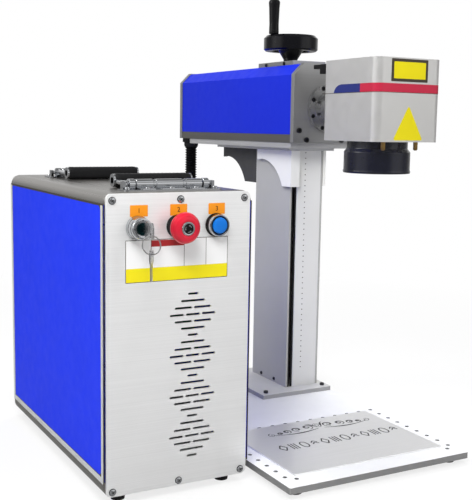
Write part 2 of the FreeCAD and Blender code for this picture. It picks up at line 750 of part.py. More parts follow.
def handwheel():
    low = WHEEL_LOW
    top = WHEEL_LOW + S.rim_height
    r = float(S.wheel_radius)
    w = float(S.rim_width)
    height = float(S.rim_height)
    rim = turned("Z", S.column_x, S.screw_y, low,
                 [(r - w, 5), (r - w + 4, 0), (r - 3, 0), (r, 3), (r, height - 5),
                  (r - 5, height), (r - w + 2, height), (r - w, height - 3)])
    hub_low = CAP_TOP + 2
    drop = float(low) - float(hub_low)
    hub = turned("Z", S.column_x, S.screw_y, hub_low,
                 [(0, 0), (13, 0), (13, 4), (24, drop + 3), (24, drop + 12), (15, drop + 18),
                  (0, drop + 18)])
    spokes = []
    count = int(float(S.spokes))
    for i in range(count):
        spoke = doc.addObject("Part::Box", "Spoke")
        spoke.Length = r - w + 2 - 20
        spoke.Width = 12
        spoke.Height = 8
        turn = Rotation(Vector(0, 0, 1), 360 * (i + 0.5) / count)
        start = turn.multVec(Vector(20, -6, 0))
        centre = Vector(float(S.column_x), float(S.screw_y), float(low) + 2)
        spoke.Placement = Placement(centre + start, turn)
        spokes.append(spoke)
    spindle = rod("Z", S.column_x - S.crank_offset, S.screw_y - 3, top - 1, 52, 4)
    spindle_top = rod("Z", S.column_x - S.crank_offset, S.screw_y - 3, top + 51, 4, 6.5)
    bore = rod("Z", S.column_x, S.screw_y, hub_low - 1, 17, S.screw_end)
    return piece("handwheel", cut(fuse(rim, hub, spindle, spindle_top, *spokes), bore))


def crank_grip():
    low = WHEEL_LOW + S.rim_height + 1
    height = float(S.grip_height)
    outline = [(4.05, 0), (8.5, 0), (9, 2), (8.6, 18), (9.6, height - 14), (10.4, height - 5),
               (9.4, height - 1.5), (7.5, height), (6.6, height), (6.6, 49.7), (4.05, 49.7)]
    return piece("crank_grip", turned("Z", S.column_x - S.crank_offset, S.screw_y - 3, low,
                                      outline))


def lead_screw():
    low = FOOT_TOP
    upper = COL_TOP - BEARING_HEIGHT
    tail = rod("Z", S.column_x, S.screw_y, low, BEARING_HEIGHT, S.screw_end)
    main = rod("Z", S.column_x, S.screw_y, low + BEARING_HEIGHT + 1,
               upper - low - BEARING_HEIGHT - 2, S.screw_radius)
    link = rod("Z", S.column_x, S.screw_y, low, CAP_TOP + 17 - low, S.screw_end)
    return piece("lead_screw", fuse(tail, main, link))


# Arm

def arm_outline(inset):
    """The arm's cross-section: square below, chamfered above, drawn inset from its skin."""
    c = float(S.arm_chamfer)
    i = float(inset)
    k = i * (math.sqrt(2) - 1)
    x0, x1 = float(ARM_LEFT) + i, float(ARM_RIGHT) - i
    z1 = float(ARM_TOP) - i
    return x0, x1, z1, c - i + k


def arm_plate_outline(inset, low):
    x0, x1, z1, c = arm_outline(inset)
    return [("to", x0, low), ("to", x1, low), ("to", x1, z1 - c), ("to", x1 - c, z1),
            ("to", x0 + c, z1), ("to", x0, z1 - c)]


def arm_screw_spots():
    low = S.arm_low
    near = [(S.column_x + dx, low + 21) for dx in (-57.5, 57.5)]
    return near + [(S.column_x + dx, low + 5) for dx in (-42, 32)]


def arm_front_plate():
    plate = prism("XZ", S.arm_front, S.end_plate, arm_plate_outline(0, S.arm_low))
    bore = rod("Y", S.column_x, S.arm_front - 1, S.beam_z, S.end_plate + 2, 20)
    return piece("arm_front_plate", cut(plate, bore))


def arm_rear_plate():
    return piece("arm_rear_plate", prism("XZ", ARM_BACK - S.end_plate, S.end_plate,
                                         arm_plate_outline(0, S.arm_low)))


def column_hole(low, high):
    gap = S.column_gap
    return block(COL_LEFT - gap, COL_RIGHT + gap, -gap, S.column_depth + gap, low, high)


def arm_cover():
    low = float(S.arm_low + S.rail_height)
    skin = float(S.cover_skin)
    ox0, ox1, oz1, oc = arm_outline(S.reveal)
    ix0, ix1, iz1, ic = arm_outline(float(S.reveal) + skin)
    outline = [("to", ox0, low), ("to", ox0, oz1 - oc), ("to", ox0 + oc, oz1),
               ("to", ox1 - oc, oz1), ("to", ox1, oz1 - oc), ("to", ox1, low),
               ("to", ix1, low), ("to", ix1, iz1 - ic), ("to", ix1 - ic, iz1),
               ("to", ix0 + ic, iz1), ("to", ix0, iz1 - ic), ("to", ix0, low)]
    bent = prism("XZ", S.arm_front + S.end_plate, S.arm_length - S.end_plate * 2, outline)
    return piece("arm_cover", cut(bent, column_hole(ARM_TOP - 6, ARM_TOP + 1)))


def arm_tray():
    y0 = S.arm_front + S.end_plate
    y1 = ARM_BACK - S.end_plate
    top = S.arm_low + S.rail_height
    floor = block(ARM_LEFT + 1, ARM_RIGHT - 1, y0, y1, S.arm_low, S.arm_low + S.tray_thick)
    left = block(ARM_LEFT + 1, ARM_LEFT + 5, y0, y1, S.arm_low, top)
    right = block(ARM_RIGHT - 5, ARM_RIGHT - 1, y0, y1, S.arm_low, top)
    hose = rod("Z", HOSE_EXIT[0], HOSE_EXIT[1], S.arm_low - 1, S.tray_thick + 2, S.hose_bore + 1)
    return piece("arm_tray", cut(fuse(floor, left, right),
                                 column_hole(S.arm_low - 1, S.arm_low + S.tray_thick + 1), hose))


def arm_support_plate():
    deck = block(ARM_LEFT + 3, ARM_RIGHT - 3, S.arm_front + 12, ARM_BACK - 44, DECK_LOW,
                 S.arm_low)
    rib = block(ARM_LEFT + 20, ARM_RIGHT - 20, S.bracket_front, S.column_depth + 136,
                SUPPORT_LOW, DECK_LOW)
    return piece("arm_support_plate", cut(fuse(deck, rib),
                                          column_hole(SUPPORT_LOW - 1, S.arm_low + 1)))


def gusset(x, thick, y_leg, y_far, leg, head, drop, top):
    """A bracket plate with a vertical leg at y_leg, a head under the arm and a hollow curve."""
    way = 1 if float(y_far) > float(y_leg) else -1
    y0, y1 = float(y_leg), float(y_far)
    inner = y0 + way * float(leg)
    low = float(top) - float(drop)
    head_low = float(top) - float(head)
    mid_y = y1 + (inner - y1) * math.sin(math.radians(45))
    mid_z = low + (head_low - low) * math.sin(math.radians(45))
    return prism("YZ", x, thick, [("to", y0, low), ("to", inner, low),
                                  ("arc", mid_y, mid_z, y1, head_low), ("to", y1, top),
                                  ("to", y0, top)])


def lift_brackets():
    """Gussets beside the column; the left one joins the carriage through the slot."""
    low = SUPPORT_LOW - S.bracket_drop
    far = S.bracket_front + S.bracket_length
    x = COL_LEFT - S.column_gap - S.bracket_thick
    plate = gusset(x, S.bracket_thick, S.bracket_front, far, S.bracket_leg, S.bracket_head,
                   S.bracket_drop, SUPPORT_LOW)
    slot_mid = COL_LEFT + S.wall + S.slot / 2
    wing_left = slot_mid - S.wing_thick / 2
    wing_right = slot_mid + S.wing_thick / 2
    wing = block(wing_left, wing_right, S.bracket_front, S.carriage_front, low, SUPPORT_LOW)
    lug = block(x, wing_right, S.bracket_front, S.bracket_front + 9, low, SUPPORT_LOW)
    right = gusset(COL_RIGHT + S.column_gap, S.bracket_thick, as_size(S.column_gap), far,
                   S.bracket_leg - 14, S.bracket_head, S.bracket_drop, SUPPORT_LOW)
    return piece("lift_brackets", group([fuse(plate, wing, lug), right]))


def rear_bracket():
    back = S.column_depth + S.clearance
    low = SUPPORT_LOW - S.bracket_drop
    pad = block(COL_LEFT, COL_RIGHT, back, back + 7, low, SUPPORT_LOW)
    y_leg = back + 7
    plates = [gusset(x, 8, y_leg, y_leg + S.brace_length, S.brace_leg, S.bracket_head,
                     S.bracket_drop, SUPPORT_LOW) for x in (COL_LEFT, COL_RIGHT - 8)]
    return piece("rear_bracket", fuse(pad, *plates))


def carriage():
    low = SUPPORT_LOW - S.bracket_drop
    gap = 1.5
    body = block(COL_LEFT + S.wall + gap, COL_RIGHT - S.wall - gap, S.carriage_front,
                 S.carriage_front + S.carriage_depth, low, low + S.carriage_height)
    nut = rod("Z", S.column_x, S.screw_y, low + S.carriage_height, 8, 13)
    bores = [rod("Z", S.column_x + side * S.shaft_dx, S.screw_y, low - 1,
                 S.carriage_height + 2, S.shaft_radius + S.fit) for side in (-1, 1)]
    bores.append(rod("Z", S.column_x, S.screw_y, low - 1, S.carriage_height + 12,
                     S.screw_radius + S.fit))
    return piece("carriage", cut(fuse(body, nut), *bores))


RING_SCREWS = 8


def ring_screw_spots(radius):
    spots = []
    for i in range(RING_SCREWS):
        angle = math.radians(360 * (i + 0.5) / RING_SCREWS)
        spots.append((S.column_x + radius * math.cos(angle), S.beam_z + radius * math.sin(angle)))
    return spots


def beam_tube():
    ring_y = S.arm_front - S.ring_thick
    ring = rod("Y", S.column_x, ring_y, S.beam_z, S.ring_thick, S.ring_radius)
    tube = rod("Y", S.column_x, HEAD_BACK, S.beam_z, S.arm_front - HEAD_BACK, S.tube_radius)
    bore = rod("Y", S.column_x, HEAD_BACK - 1, S.beam_z, S.arm_front - HEAD_BACK + 2, 20)
    notches = [rod("Y", x, ring_y - 1, z, S.ring_thick - 2, 4.2)
               for x, z in ring_screw_spots(36.5)]
    return piece("beam_tube", cut(fuse(ring, tube), bore, *notches))


def collimator():
    """Output head of the fibre, clamped in the arm's front stretch and reaching the tube."""
    front = S.arm_front - 50
    body = rod("Y", S.column_x, front, S.beam_z, 104, 14)
    clamp = rod("Y", S.column_x, S.arm_front, S.beam_z, S.end_plate, 20)
    return piece("collimator", fuse(body, clamp))


def arm_screws():
    screws = [cut(rod("Y", x, S.arm_front - 3, z, 3, 4.2),
                  rod("Y", x, S.arm_front - 4, z, 2.5, 2)) for x, z in arm_screw_spots()]
    screws += [rod("Y", x, S.arm_front - S.ring_thick + 1, z, 4, 3.2)
               for x, z in ring_screw_spots(36.5)]
    return piece("arm_screws", group(screws))


# Scan head

def head_outline(inset):
    i = float(inset)
    return (float(S.head_left) + i, float(HEAD_RIGHT) - i, float(S.head_front) + i,
            float(HEAD_BACK) - i)


def head_shell(low, high, inner_low, inner_high):
    x0, x1, y0, y1 = head_outline(0)
    shell = rounded("XY", x0, x1, y0, y1, low, high - low, S.head_corner)
    a0, a1, b0, b1 = head_outline(S.head_wall)
    hollow = rounded("XY", a0, a1, b0, b1, inner_low, inner_high - inner_low,
                     S.head_corner - S.head_wall)
    return shell, hollow


def galvo_housing():
    shell, hollow = head_shell(S.head_low, SEAM, S.head_low + 6, SEAM + 1)
    lens_hole = rod("Z", S.lens_x, S.lens_y, S.head_low - 1, 10, S.glass_radius)
    beam_hole = rod("Y", S.column_x, HEAD_BACK - 10, S.beam_z, 12, 20)
    return piece("galvo_housing", cut(shell, hollow, lens_hole, beam_hole))


def galvo_cover():
    shell, hollow = head_shell(SEAM, HEAD_TOP, SEAM - 1, HEAD_TOP - S.head_wall)
    beam_hole = rod("Y", S.column_x, HEAD_BACK - 10, S.beam_z, 12, 20)
    return piece("galvo_cover", cut(shell, hollow, beam_hole))


def galvo_connector():
    x = S.head_left + 5
    body = block(x, x + 24, HEAD_BACK, HEAD_BACK + 16, HEAD_TOP - 20, HEAD_TOP - 4)
    tail = block(x + 2, x + 12, HEAD_BACK + 15, HEAD_BACK + 38, HEAD_TOP - 11, HEAD_TOP - 4)
    return piece("galvo_connector", fuse(body, tail))


def galvo_motors():
    """Two scanner motors: one upright over the lens, one lying along X."""
    z = S.beam_z
    mount = block(S.lens_x - 46, S.lens_x + 46, S.lens_y - 20, S.lens_y + 20, S.head_low + 6,
                  S.head_low + 12)
    opening = rod("Z", S.lens_x, S.lens_y, S.head_low, 20, 18)
    wall = block(S.lens_x + 32, S.lens_x + 38, S.lens_y - 20, S.lens_y + 20, S.head_low + 6,
                 z + 14)
    first = rod("X", S.lens_x + 24, S.lens_y, z - 22, 34, 9)
    bridge = block(S.lens_x - 40, S.lens_x - 34, S.lens_y - 20, S.lens_y + 20,
                   S.head_low + 6, z + 46)
    shelf = block(S.lens_x - 40, S.lens_x + 38, S.lens_y - 20, S.lens_y + 20, z + 40, z + 46)
    second = rod("Z", S.lens_x, S.lens_y, z + 18, 40, 9)
    tie = block(S.lens_x + 32, S.lens_x + 38, S.lens_y - 20, S.lens_y + 20, z + 13, z + 46)
    bores = [rod("X", S.lens_x + 23, S.lens_y, z - 22, 20, 2 + S.fit),
             rod("Z", S.lens_x, S.lens_y, z + 17, 20, 2 + S.fit)]
    frame = cut(fuse(mount, wall, bridge, shelf, tie), opening)
    return piece("galvo_motors", cut(fuse(frame, first, second), *bores))


def tilted_plate(size, spot, turn):
    """A flat plate centred on a spot and turned about its middle."""
    plate = doc.addObject("Part::Box", "Plate")
    plate.Length, plate.Width, plate.Height = size
    plate.Placement = Placement(spot - turn.multVec(Vector(*size) * 0.5), turn)
    return plate


def scan_mirrors():
    """One mirror under the upright motor, one beside the lying motor, both at 45 degrees."""
    x, y, z = float(S.lens_x), float(S.lens_y), float(S.beam_z)
    upper = tilted_plate((18, 2, 16), Vector(x, y, z), Rotation(Vector(0, 0, 1), 45))
    upper_shaft = rod("Z", S.lens_x, S.lens_y, S.beam_z + 6, 24, 2)
    piece("mirror_x", fuse(upper_shaft, upper))
    lower = tilted_plate((18, 22, 2), Vector(x + 1, y, z - 22), Rotation(Vector(1, 0, 0), 45))
    lower_shaft = rod("X", S.lens_x + 8, S.lens_y, S.beam_z - 22, 24, 2)
    piece("mirror_y", fuse(lower_shaft, lower))


def lens_barrel():
    top = float(S.head_low)
    neck = float(S.neck_height)
    barrel = float(S.barrel_height)
    r, rn, g = float(S.lens_radius), float(S.neck_radius), float(S.glass_radius)
    low = top - neck - barrel
    body = turned("Z", S.lens_x, S.lens_y, low,
                  [(g, 0), (r, 0), (r + 0.8, 1), (r + 0.8, 4), (r, 5.5), (r, barrel - 5),
                   (r - 4, barrel), (rn, barrel + 1), (rn, barrel + neck), (g, barrel + neck)])
    return piece("lens_barrel", body)


def lens_glass():
    low = S.head_low - S.neck_height - S.barrel_height
    glass = rod("Z", S.lens_x, S.lens_y, low + 4, 8, S.glass_radius)
    return piece("lens_glass", glass)


def lock_screws():
    screws = []
    for dx in (22, 86):
        x = S.head_left + dx
        y = S.head_front + 8
        screws.append(fuse(rod("Z", x, y, S.head_low - 4, 4, 3.6),
                           rod("Z", x, y, S.head_low - 12, 9, 2.6)))
    return piece("lock_screws", group(screws))


# Hose between the arm and the cabinet

HOSE_ROUTE = [
    (165, 372, 463), (165, 372, 385), (164, 372, 300), (159, 371, 213), (136, 369, 128),
    (84, 366, 62), (12, 361, 30), (-60, 352, 36), (-128, 338, 60), (-182, 308, 98),
    (-210, 262, 132), (-222, 204, 150), (-222, 152, 150),
]


def hose_path(route):
    """Straight runs joined by tangent arcs, with each arc's radius."""
    points = [Vector(*p) for p in route]
    edges = []
    radii = []
    start = points[0]
    for before, here, after in zip(points, points[1:], points[2:]):
        into = (here - before).normalize()
        out = (after - here).normalize()
        half = into.getAngle(out) / 2
        reach = 0.45 * min((here - before).Length, (after - here).Length)
        radii.append(reach / math.tan(half))
        arc_start = here - into * reach
        arc_end = here + out * reach
        bisector = (out - into).normalize()
        middle = here + bisector * (radii[-1] / math.cos(half) - radii[-1])
        edges.append(Part.LineSegment(start, arc_start).toShape())
        edges.append(Part.Arc(arc_start, middle, arc_end).toShape())
        start = arc_end
    edges.append(Part.LineSegment(start, points[-1]).toShape())
    return Part.Wire(edges), radii


def sweep(wire, radius):
    edge = wire.Edges[0]
    start = edge.valueAt(edge.FirstParameter)
    along = edge.tangentAt(edge.FirstParameter)
    circle = Part.Wire([Part.Circle(start, along, radius).toShape()])
    return wire.makePipeShell([circle], True, False)


def frames_along(wire, spots):
    """Point and direction at each distance along the wire."""
    found = []
    start = 0.0
    edges = list(wire.OrderedEdges)
    for spot in spots:
        while edges[1:] and spot > start + edges[0].Length:
            start += edges[0].Length
            edges.pop(0)
        edge = edges[0]
        at = edge.getParameterByLength(min(spot - start, edge.Length))
        found.append((edge.valueAt(at), edge.tangentAt(at)))
    return found


def rib_profile(length):
    """Distances and radii of the ribbed skin: plain ends and four circles to a rib."""
    plain = 2 * float(S.hose_radius)
    pitch = float(S.hose_pitch)
    low, high = float(S.hose_root), float(S.hose_rib)
    count = int((length - 2 * plain) / pitch)
    lead = (length - count * pitch) / 2
    profile = [(0.0, low)]
    for i in range(count):
        at = lead + i * pitch
        profile += [(at, low), (at + 0.3 * pitch, high), (at + 0.65 * pitch, high),
                    (at + 0.9 * pitch, low)]
    profile.append((length, low))
    return profile, count


def hose():
    wire, radii = hose_path(HOSE_ROUTE)
    profile, count = rib_profile(wire.Length)
    print("hose length", round(wire.Length, 1), "radii", [round(r) for r in radii])
    print("ribs", count)
    rings = []
    across = Vector(1, 0, 0)
    for (at, radius), (point, along) in zip(profile, frames_along(wire, [p[0] for p in profile])):
        across = (across - along * across.dot(along)).normalize()
        circle = Part.Circle()
        circle.Center = point
        circle.Axis = along
        circle.XAxis = across
        circle.Radius = radius
        rings.append(Part.Wire([circle.toShape()]))
    skin = Part.makeLoft(rings, True, True)
    if skin.Volume < 0:
        skin.reverse()
    core = sweep(wire, float(S.hose_bore))
    want = math.pi * float(S.hose_bore) ** 2 * wire.Length
    print("bore volume over its section times its length", round(core.Volume / want, 4))
    tube = skin.cut(core)
    print("hose solid", tube.isValid(), len(tube.Solids), round(tube.Volume), round(skin.Volume))
    return piece("hose", feature(tube))


def build():
    cabinet_top()
    cabinet_base()
    cabinet_side("cabinet_left_panel", CAB_LEFT)
    cabinet_side("cabinet_right_panel", CAB_RIGHT - S.side_skin)
    front_panel()
    rear_panel()
    mains_inlet()
    piece("cabinet_gland", gland("Y", as_size(HOSE_ENTRY[0]), REAR_FACE, as_size(HOSE_ENTRY[1]),
                                 1))
    laser_source()
    power_supply()
    control_board()
    fan_frame()
    fan_rotor()
    key_switch()
    key_cylinder()
    key_ring()
    estop()
    push_button()
    handle_plates()
    bails()
    base_plate()
    rubber_feet()
    column_foot()
    column_housing()
    column_cover()
    dust_lips()
    column_cap()
    screw_bearings()
    guide_shafts()
    work_sheet()
    root_screws()
    handwheel()
    crank_grip()
    lead_screw()
    arm_front_plate()
    arm_rear_plate()
    arm_cover()
    arm_tray()
    arm_support_plate()
    lift_brackets()
    rear_bracket()
    carriage()
    beam_tube()
    collimator()
    piece("arm_gland", gland("Z", as_size(HOSE_EXIT[0]), as_size(HOSE_EXIT[1]), S.arm_low, -1))
    arm_screws()
    galvo_housing()
    galvo_cover()
    galvo_connector()
    galvo_motors()
    scan_mirrors()
    lens_barrel()
    lens_glass()
    lock_screws()
    hose()


def check_and_write():
    doc.recompute()
    for obj in doc.Objects:
        if "Invalid" in obj.State or "Error" in obj.State:
            raise SystemExit("failed object " + obj.Label)
    os.makedirs("parts", exist_ok=True)
    for obj in PIECES:
        shape = obj.Shape
        if shape.isNull() or not shape.isValid() or shape.Volume <= 0:
            raise SystemExit("bad shape " + obj.Label)
        shape.exportStep("parts/" + obj.Label + ".step")
    print(len(PIECES), "sub-parts written")


build()
check_and_write()
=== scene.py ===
import math

import bmesh
import bpy
from mathutils import Matrix, Vector

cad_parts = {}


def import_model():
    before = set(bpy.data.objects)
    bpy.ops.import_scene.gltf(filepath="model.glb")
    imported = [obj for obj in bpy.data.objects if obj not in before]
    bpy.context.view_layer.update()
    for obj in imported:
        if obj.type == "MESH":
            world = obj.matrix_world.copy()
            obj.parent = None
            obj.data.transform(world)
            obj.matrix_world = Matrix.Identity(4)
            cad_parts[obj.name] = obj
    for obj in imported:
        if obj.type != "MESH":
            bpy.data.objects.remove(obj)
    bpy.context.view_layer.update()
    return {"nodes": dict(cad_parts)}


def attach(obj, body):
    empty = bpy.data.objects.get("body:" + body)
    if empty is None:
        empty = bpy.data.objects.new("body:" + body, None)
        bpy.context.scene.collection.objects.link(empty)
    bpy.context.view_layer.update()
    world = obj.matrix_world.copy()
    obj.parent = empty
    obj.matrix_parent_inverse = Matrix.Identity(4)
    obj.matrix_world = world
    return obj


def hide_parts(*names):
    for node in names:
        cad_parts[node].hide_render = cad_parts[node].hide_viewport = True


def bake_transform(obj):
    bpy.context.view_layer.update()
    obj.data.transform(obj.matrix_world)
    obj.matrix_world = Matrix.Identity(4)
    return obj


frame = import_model()
NODES = frame["nodes"]
MM = 0.001


# Colours and materials

def srgb(r, g, b):
    """A colour as a screen shows it, as the linear numbers that a shader takes."""
    out = []
    for v in (r / 255, g / 255, b / 255):
        out.append(v / 12.92 if v <= 0.04045 else ((v + 0.055) / 1.055) ** 2.4)
    return (out[0], out[1], out[2], 1.0)


def grey(value):
    return (value, value, value, 1)


def shade(colour, factor):
    return tuple(min(1.0, c * factor) for c in colour[:3]) + (1.0,)


def new_material(name, **sockets):
    """A Principled material with its uniform values on the shader's own sockets."""
    mat = bpy.data.materials.new(name)
    mat.use_nodes = True
    bsdf = mat.node_tree.nodes["Principled BSDF"]
    for key, value in sockets.items():
        bsdf.inputs[key.replace("_", " ")].default_value = value
    return mat, mat.node_tree, bsdf


def link(source, target):
    target.id_data.links.new(source, target)


def add_node(tree, kind, **settings):
    """A new shader node with settings such as its operation."""
    node = tree.nodes.new("ShaderNode" + kind)
    for key, value in settings.items():
        setattr(node, key, value)
    return node


def object_coordinates(tree, scale):
    place = add_node(tree, "TexCoord")
    mapping = add_node(tree, "Mapping")
    mapping.inputs["Scale"].default_value = scale
    link(place.outputs["Object"], mapping.inputs["Vector"])
    return mapping.outputs["Vector"]


def noise(tree, scale, stretch=(1, 1, 1), detail=3.0):
    node = add_node(tree, "TexNoise")
    node.inputs["Scale"].default_value = scale
    node.inputs["Detail"].default_value = detail
    link(object_coordinates(tree, stretch), node.inputs["Vector"])
    return node.outputs["Fac"]


def ramp(tree, source, stops):
    """Colours by a source from 0 to 1; the first two stops take the ramp's own points."""
    node = add_node(tree, "ValToRGB")
    points = node.color_ramp.elements
    for i, (where, colour) in enumerate(stops):
        point = points[i] if i < 2 else points.new(where)
        point.position = where
        point.color = colour
    link(source, node.inputs["Fac"])
    return node.outputs["Color"]


def cloudy(tree, scale, low, high):
    """Two colours in soft clouds."""
    return ramp(tree, noise(tree, scale), [(0.3, low), (0.7, high)])


def spread(tree, source, low, high, from_low=0.3, from_high=0.7):
    """A source's range carried over to another, held at its ends."""
    node = add_node(tree, "MapRange")
    node.inputs["From Min"].default_value = from_low
    node.inputs["From Max"].default_value = from_high
    node.inputs["To Min"].default_value = low
    node.inputs["To Max"].default_value = high
    link(source, node.inputs["Value"])
    return node.outputs["Result"]


def bump(tree, bsdf, height, strength, distance):
    """Fine relief; the distance is in metres."""
    node = add_node(tree, "Bump")
    node.inputs["Strength"].default_value = strength
    node.inputs["Distance"].default_value = distance
    link(height, node.inputs["Height"])
    link(node.outputs["Normal"], bsdf.inputs["Normal"])


def blended(tree, kind, share, first, second):
    """Two colours mixed by a share, which is a number or a socket."""
    mixed = add_node(tree, "Mix", data_type="RGBA", blend_type=kind)
    if isinstance(share, float):
        mixed.inputs["Factor"].default_value = share
    else:
        link(share, mixed.inputs["Factor"])
    link(first, mixed.inputs["A"])
    link(second, mixed.inputs["B"])
    return mixed.outputs["Result"]


def painted(name, colour, roughness=0.38, mottle=0.03, peel=0.12, coat=0.0, sheen=0.3):
    """Sprayed paint: a faint mottle and orange peel."""
    mat, tree, bsdf = new_material(name, Coat_Weight=coat, Coat_Roughness=0.12,
                                   Specular_IOR_Level=sheen)
    link(cloudy(tree, 14, shade(colour, 1 - mottle), shade(colour, 1 + mottle)),
         bsdf.inputs["Base Color"])
    link(spread(tree, noise(tree, 60), roughness - 0.05, roughness + 0.06),
         bsdf.inputs["Roughness"])
    bump(tree, bsdf, noise(tree, 520, detail=1.0), peel, 0.0002)
    return mat


def brushed(name, colour, roughness=0.34, metallic=0.85, stretch=(2, 60, 900), grain=0.05,
            depth=0.25):
    """Brushed metal: fine streaks along the axis with the small stretch."""
    mat, tree, bsdf = new_material(name, Metallic=metallic)
    streak = noise(tree, 1.6, stretch, 6.0)
    base = ramp(tree, streak, [(0.25, shade(colour, 1 - grain)), (0.75, shade(colour, 1 + grain))])
    clouds = cloudy(tree, 7, grey(0.95), grey(1))
    link(blended(tree, "MULTIPLY", 1.0, base, clouds), bsdf.inputs["Base Color"])
    link(spread(tree, streak, roughness - 0.05, roughness + 0.07), bsdf.inputs["Roughness"])
    bump(tree, bsdf, streak, depth, 0.00006)
    return mat


def metal(name, colour, roughness=0.2, smudge=0.08, turned=False):
    """Turned or polished metal with faint handling marks."""
    mat, tree, bsdf = new_material(name, Metallic=1.0)
    cloud = noise(tree, 45)
    link(ramp(tree, cloud, [(0.3, shade(colour, 0.94)), (0.7, colour)]), bsdf.inputs["Base Color"])
    link(spread(tree, cloud, roughness, roughness + smudge), bsdf.inputs["Roughness"])
    fine = noise(tree, 900 if turned else 260, detail=2.0)
    bump(tree, bsdf, fine, 0.12, 0.00005)
    return mat


def moulded(name, colour, roughness=0.42, grain_scale=900, depth=0.3, coat=0.0, sheen=0.3):
    """Plastic or rubber with a fine moulded grain."""
    mat, tree, bsdf = new_material(name, Coat_Weight=coat, Coat_Roughness=0.15,
                                   Specular_IOR_Level=sheen)
    link(cloudy(tree, 30, shade(colour, 0.85), shade(colour, 1.15)), bsdf.inputs["Base Color"])
    link(spread(tree, noise(tree, 110), roughness - 0.06, roughness + 0.08),
         bsdf.inputs["Roughness"])
    bump(tree, bsdf, noise(tree, grain_scale, detail=2.0), depth, 0.0001)
    return mat


def height_mask(tree, axis, edge, width=0.0004):
    """0 below and 1 above a place on one axis of the piece."""
    place = add_node(tree, "TexCoord")
    split = add_node(tree, "SeparateXYZ")
    link(place.outputs["Object"], split.inputs["Vector"])
    return spread(tree, split.outputs[axis], 0.0, 1.0, edge - width / 2, edge + width / 2)


def two_zone(mat, axis, edge, colour):
    """Gives the part of a material above a place on one axis another colour."""
    tree = mat.node_tree
    base = tree.nodes["Principled BSDF"].inputs["Base Color"]
    above = cloudy(tree, 40, shade(colour, 0.97), colour)
    link(blended(tree, "MIX", height_mask(tree, axis, edge),
         base.links[0].from_socket, above), base)
    return mat


M = {
    "blue": painted("cabinet_blue", srgb(27, 55, 230), 0.5, 0.02, 0.08, 0.0, 0.07),
    "arm_blue": painted("arm_blue", srgb(20, 42, 196), 0.42, 0.02, 0.08, 0.03, 0.12),
    "panel": brushed("panel_brushed", srgb(248, 248, 248), 0.40, 0.56, (2, 60, 900), 0.05, 0.2),
    "shell": brushed("shell_brushed", srgb(160, 157, 153), 0.30, 0.92, (60, 2, 900), 0.07, 0.25),
    "end_plate": brushed("end_plate_brushed", srgb(178, 178, 178), 0.36, 0.8, (2, 60, 700)),
    "tray": brushed("tray_brushed", srgb(132, 130, 127), 0.36, 0.85, (60, 2, 700)),
    "support": brushed("support_brushed", srgb(206, 206, 206), 0.4, 0.6, (60, 2, 700)),
    "cap": brushed("cap_brushed", srgb(180, 180, 178), 0.34, 0.85, (2, 60, 700)),
    "column": painted("column_silver", srgb(174, 174, 171), 0.40, 0.02, 0.08),
    "cover": painted("column_cover_silver", srgb(218, 218, 216), 0.42, 0.02, 0.08),
    "bracket": painted("bracket_silver", srgb(236, 236, 232), 0.42, 0.02, 0.08),
    # The rear bracket's dark grey is painted shade: this brace stands in shadow behind the column,
    # and its colour is darkened to match.
    "shaded_bracket": painted("bracket_painted_shade", srgb(66, 66, 67), 0.45, 0.04, 0.15, 0.0, 0.2),
    "head": brushed("head_silver", srgb(214, 213, 211), 0.34, 0.6, (40, 40, 40), 0.015, 0.0),
    "machined": metal("machined", srgb(208, 208, 209), 0.24, 0.08, True),
    "chrome": metal("chrome", srgb(206, 208, 211), 0.08, 0.08),
    "steel": metal("steel", srgb(205, 205, 206), 0.25, 0.1),
    "dark_steel": metal("dark_steel", srgb(74, 74, 77), 0.3, 0.1),
    "brass": metal("brass", srgb(176, 142, 86), 0.28, 0.1, True),
    "sheet": brushed("sheet_brushed", srgb(248, 248, 248), 0.33, 0.75, (3, 500, 60), 0.06, 0.3),
    "red": moulded("stop_red", srgb(186, 24, 46), 0.35, 500, 0.06, 0.15),
    "button": moulded("button_blue", srgb(4, 102, 190), 0.4, 500, 0.06, 0.1),
    "rubber": moulded("rubber_black", srgb(22, 22, 23), 0.62, 1400, 0.5),
    "plastic": moulded("plastic_black", srgb(10, 10, 12), 0.36, 1200, 0.3),
    "gloss": moulded("gloss_black", srgb(5, 5, 10), 0.2, 300, 0.05, 0.25),
    "lens": painted("lens_anodised", srgb(11, 13, 28), 0.24, 0.03, 0.03, 0.25, 0.6),
    "hose": moulded("hose_black", srgb(5, 5, 6), 0.5, 1200, 0.3, sheen=0.12),
    "board": moulded("board_green", srgb(24, 92, 58), 0.45, 500, 0.2),
    "orange": painted("label_orange", srgb(220, 136, 26), 0.5, 0.03, 0.05),
    "ink": moulded("ink_dark", srgb(58, 34, 20), 0.6, 500, 0.05),
    "white_label": painted("label_white", srgb(212, 212, 212), 0.5, 0.02, 0.05),
    "yellow": painted("label_yellow", srgb(212, 198, 14), 0.5, 0.03, 0.05),
    "label_red": painted("label_red", srgb(146, 34, 36), 0.5, 0.03, 0.05),
    "dark_print_and_gap_shade": painted("dark_print_and_gap_shade", srgb(60, 54, 46), 0.5, 0.03, 0.05),
    "stripe": painted("stripe_red", srgb(176, 36, 62), 0.35, 0.02, 0.05, 0.1),
    "tab": painted("tab_blue", srgb(34, 44, 108), 0.35, 0.03, 0.05, 0.1),
    "engraved": moulded("engraved_dark", srgb(62, 62, 64), 0.6, 700, 0.4),
    "trim": brushed("trim_silver", srgb(228, 230, 226), 0.4, 0.4, (60, 60, 60), 0.03, 0.1),
    # Black for the real black parts, and also painted shade in screw recesses, sockets and round
    # tapped holes.
    "dark_hole": moulded("black_and_recess_shade", srgb(12, 12, 12), 0.7, 500, 0.2),
}


def lens_glass_material():
    mat, tree, bsdf = new_material("scan_lens_glass", IOR=1.5, Coat_Weight=1.0,
                                   Coat_Roughness=0.03)
    link(cloudy(tree, 20, srgb(18, 30, 44), srgb(30, 46, 66)), bsdf.inputs["Base Color"])
    link(spread(tree, noise(tree, 50), 0.04, 0.09), bsdf.inputs["Roughness"])
    return mat


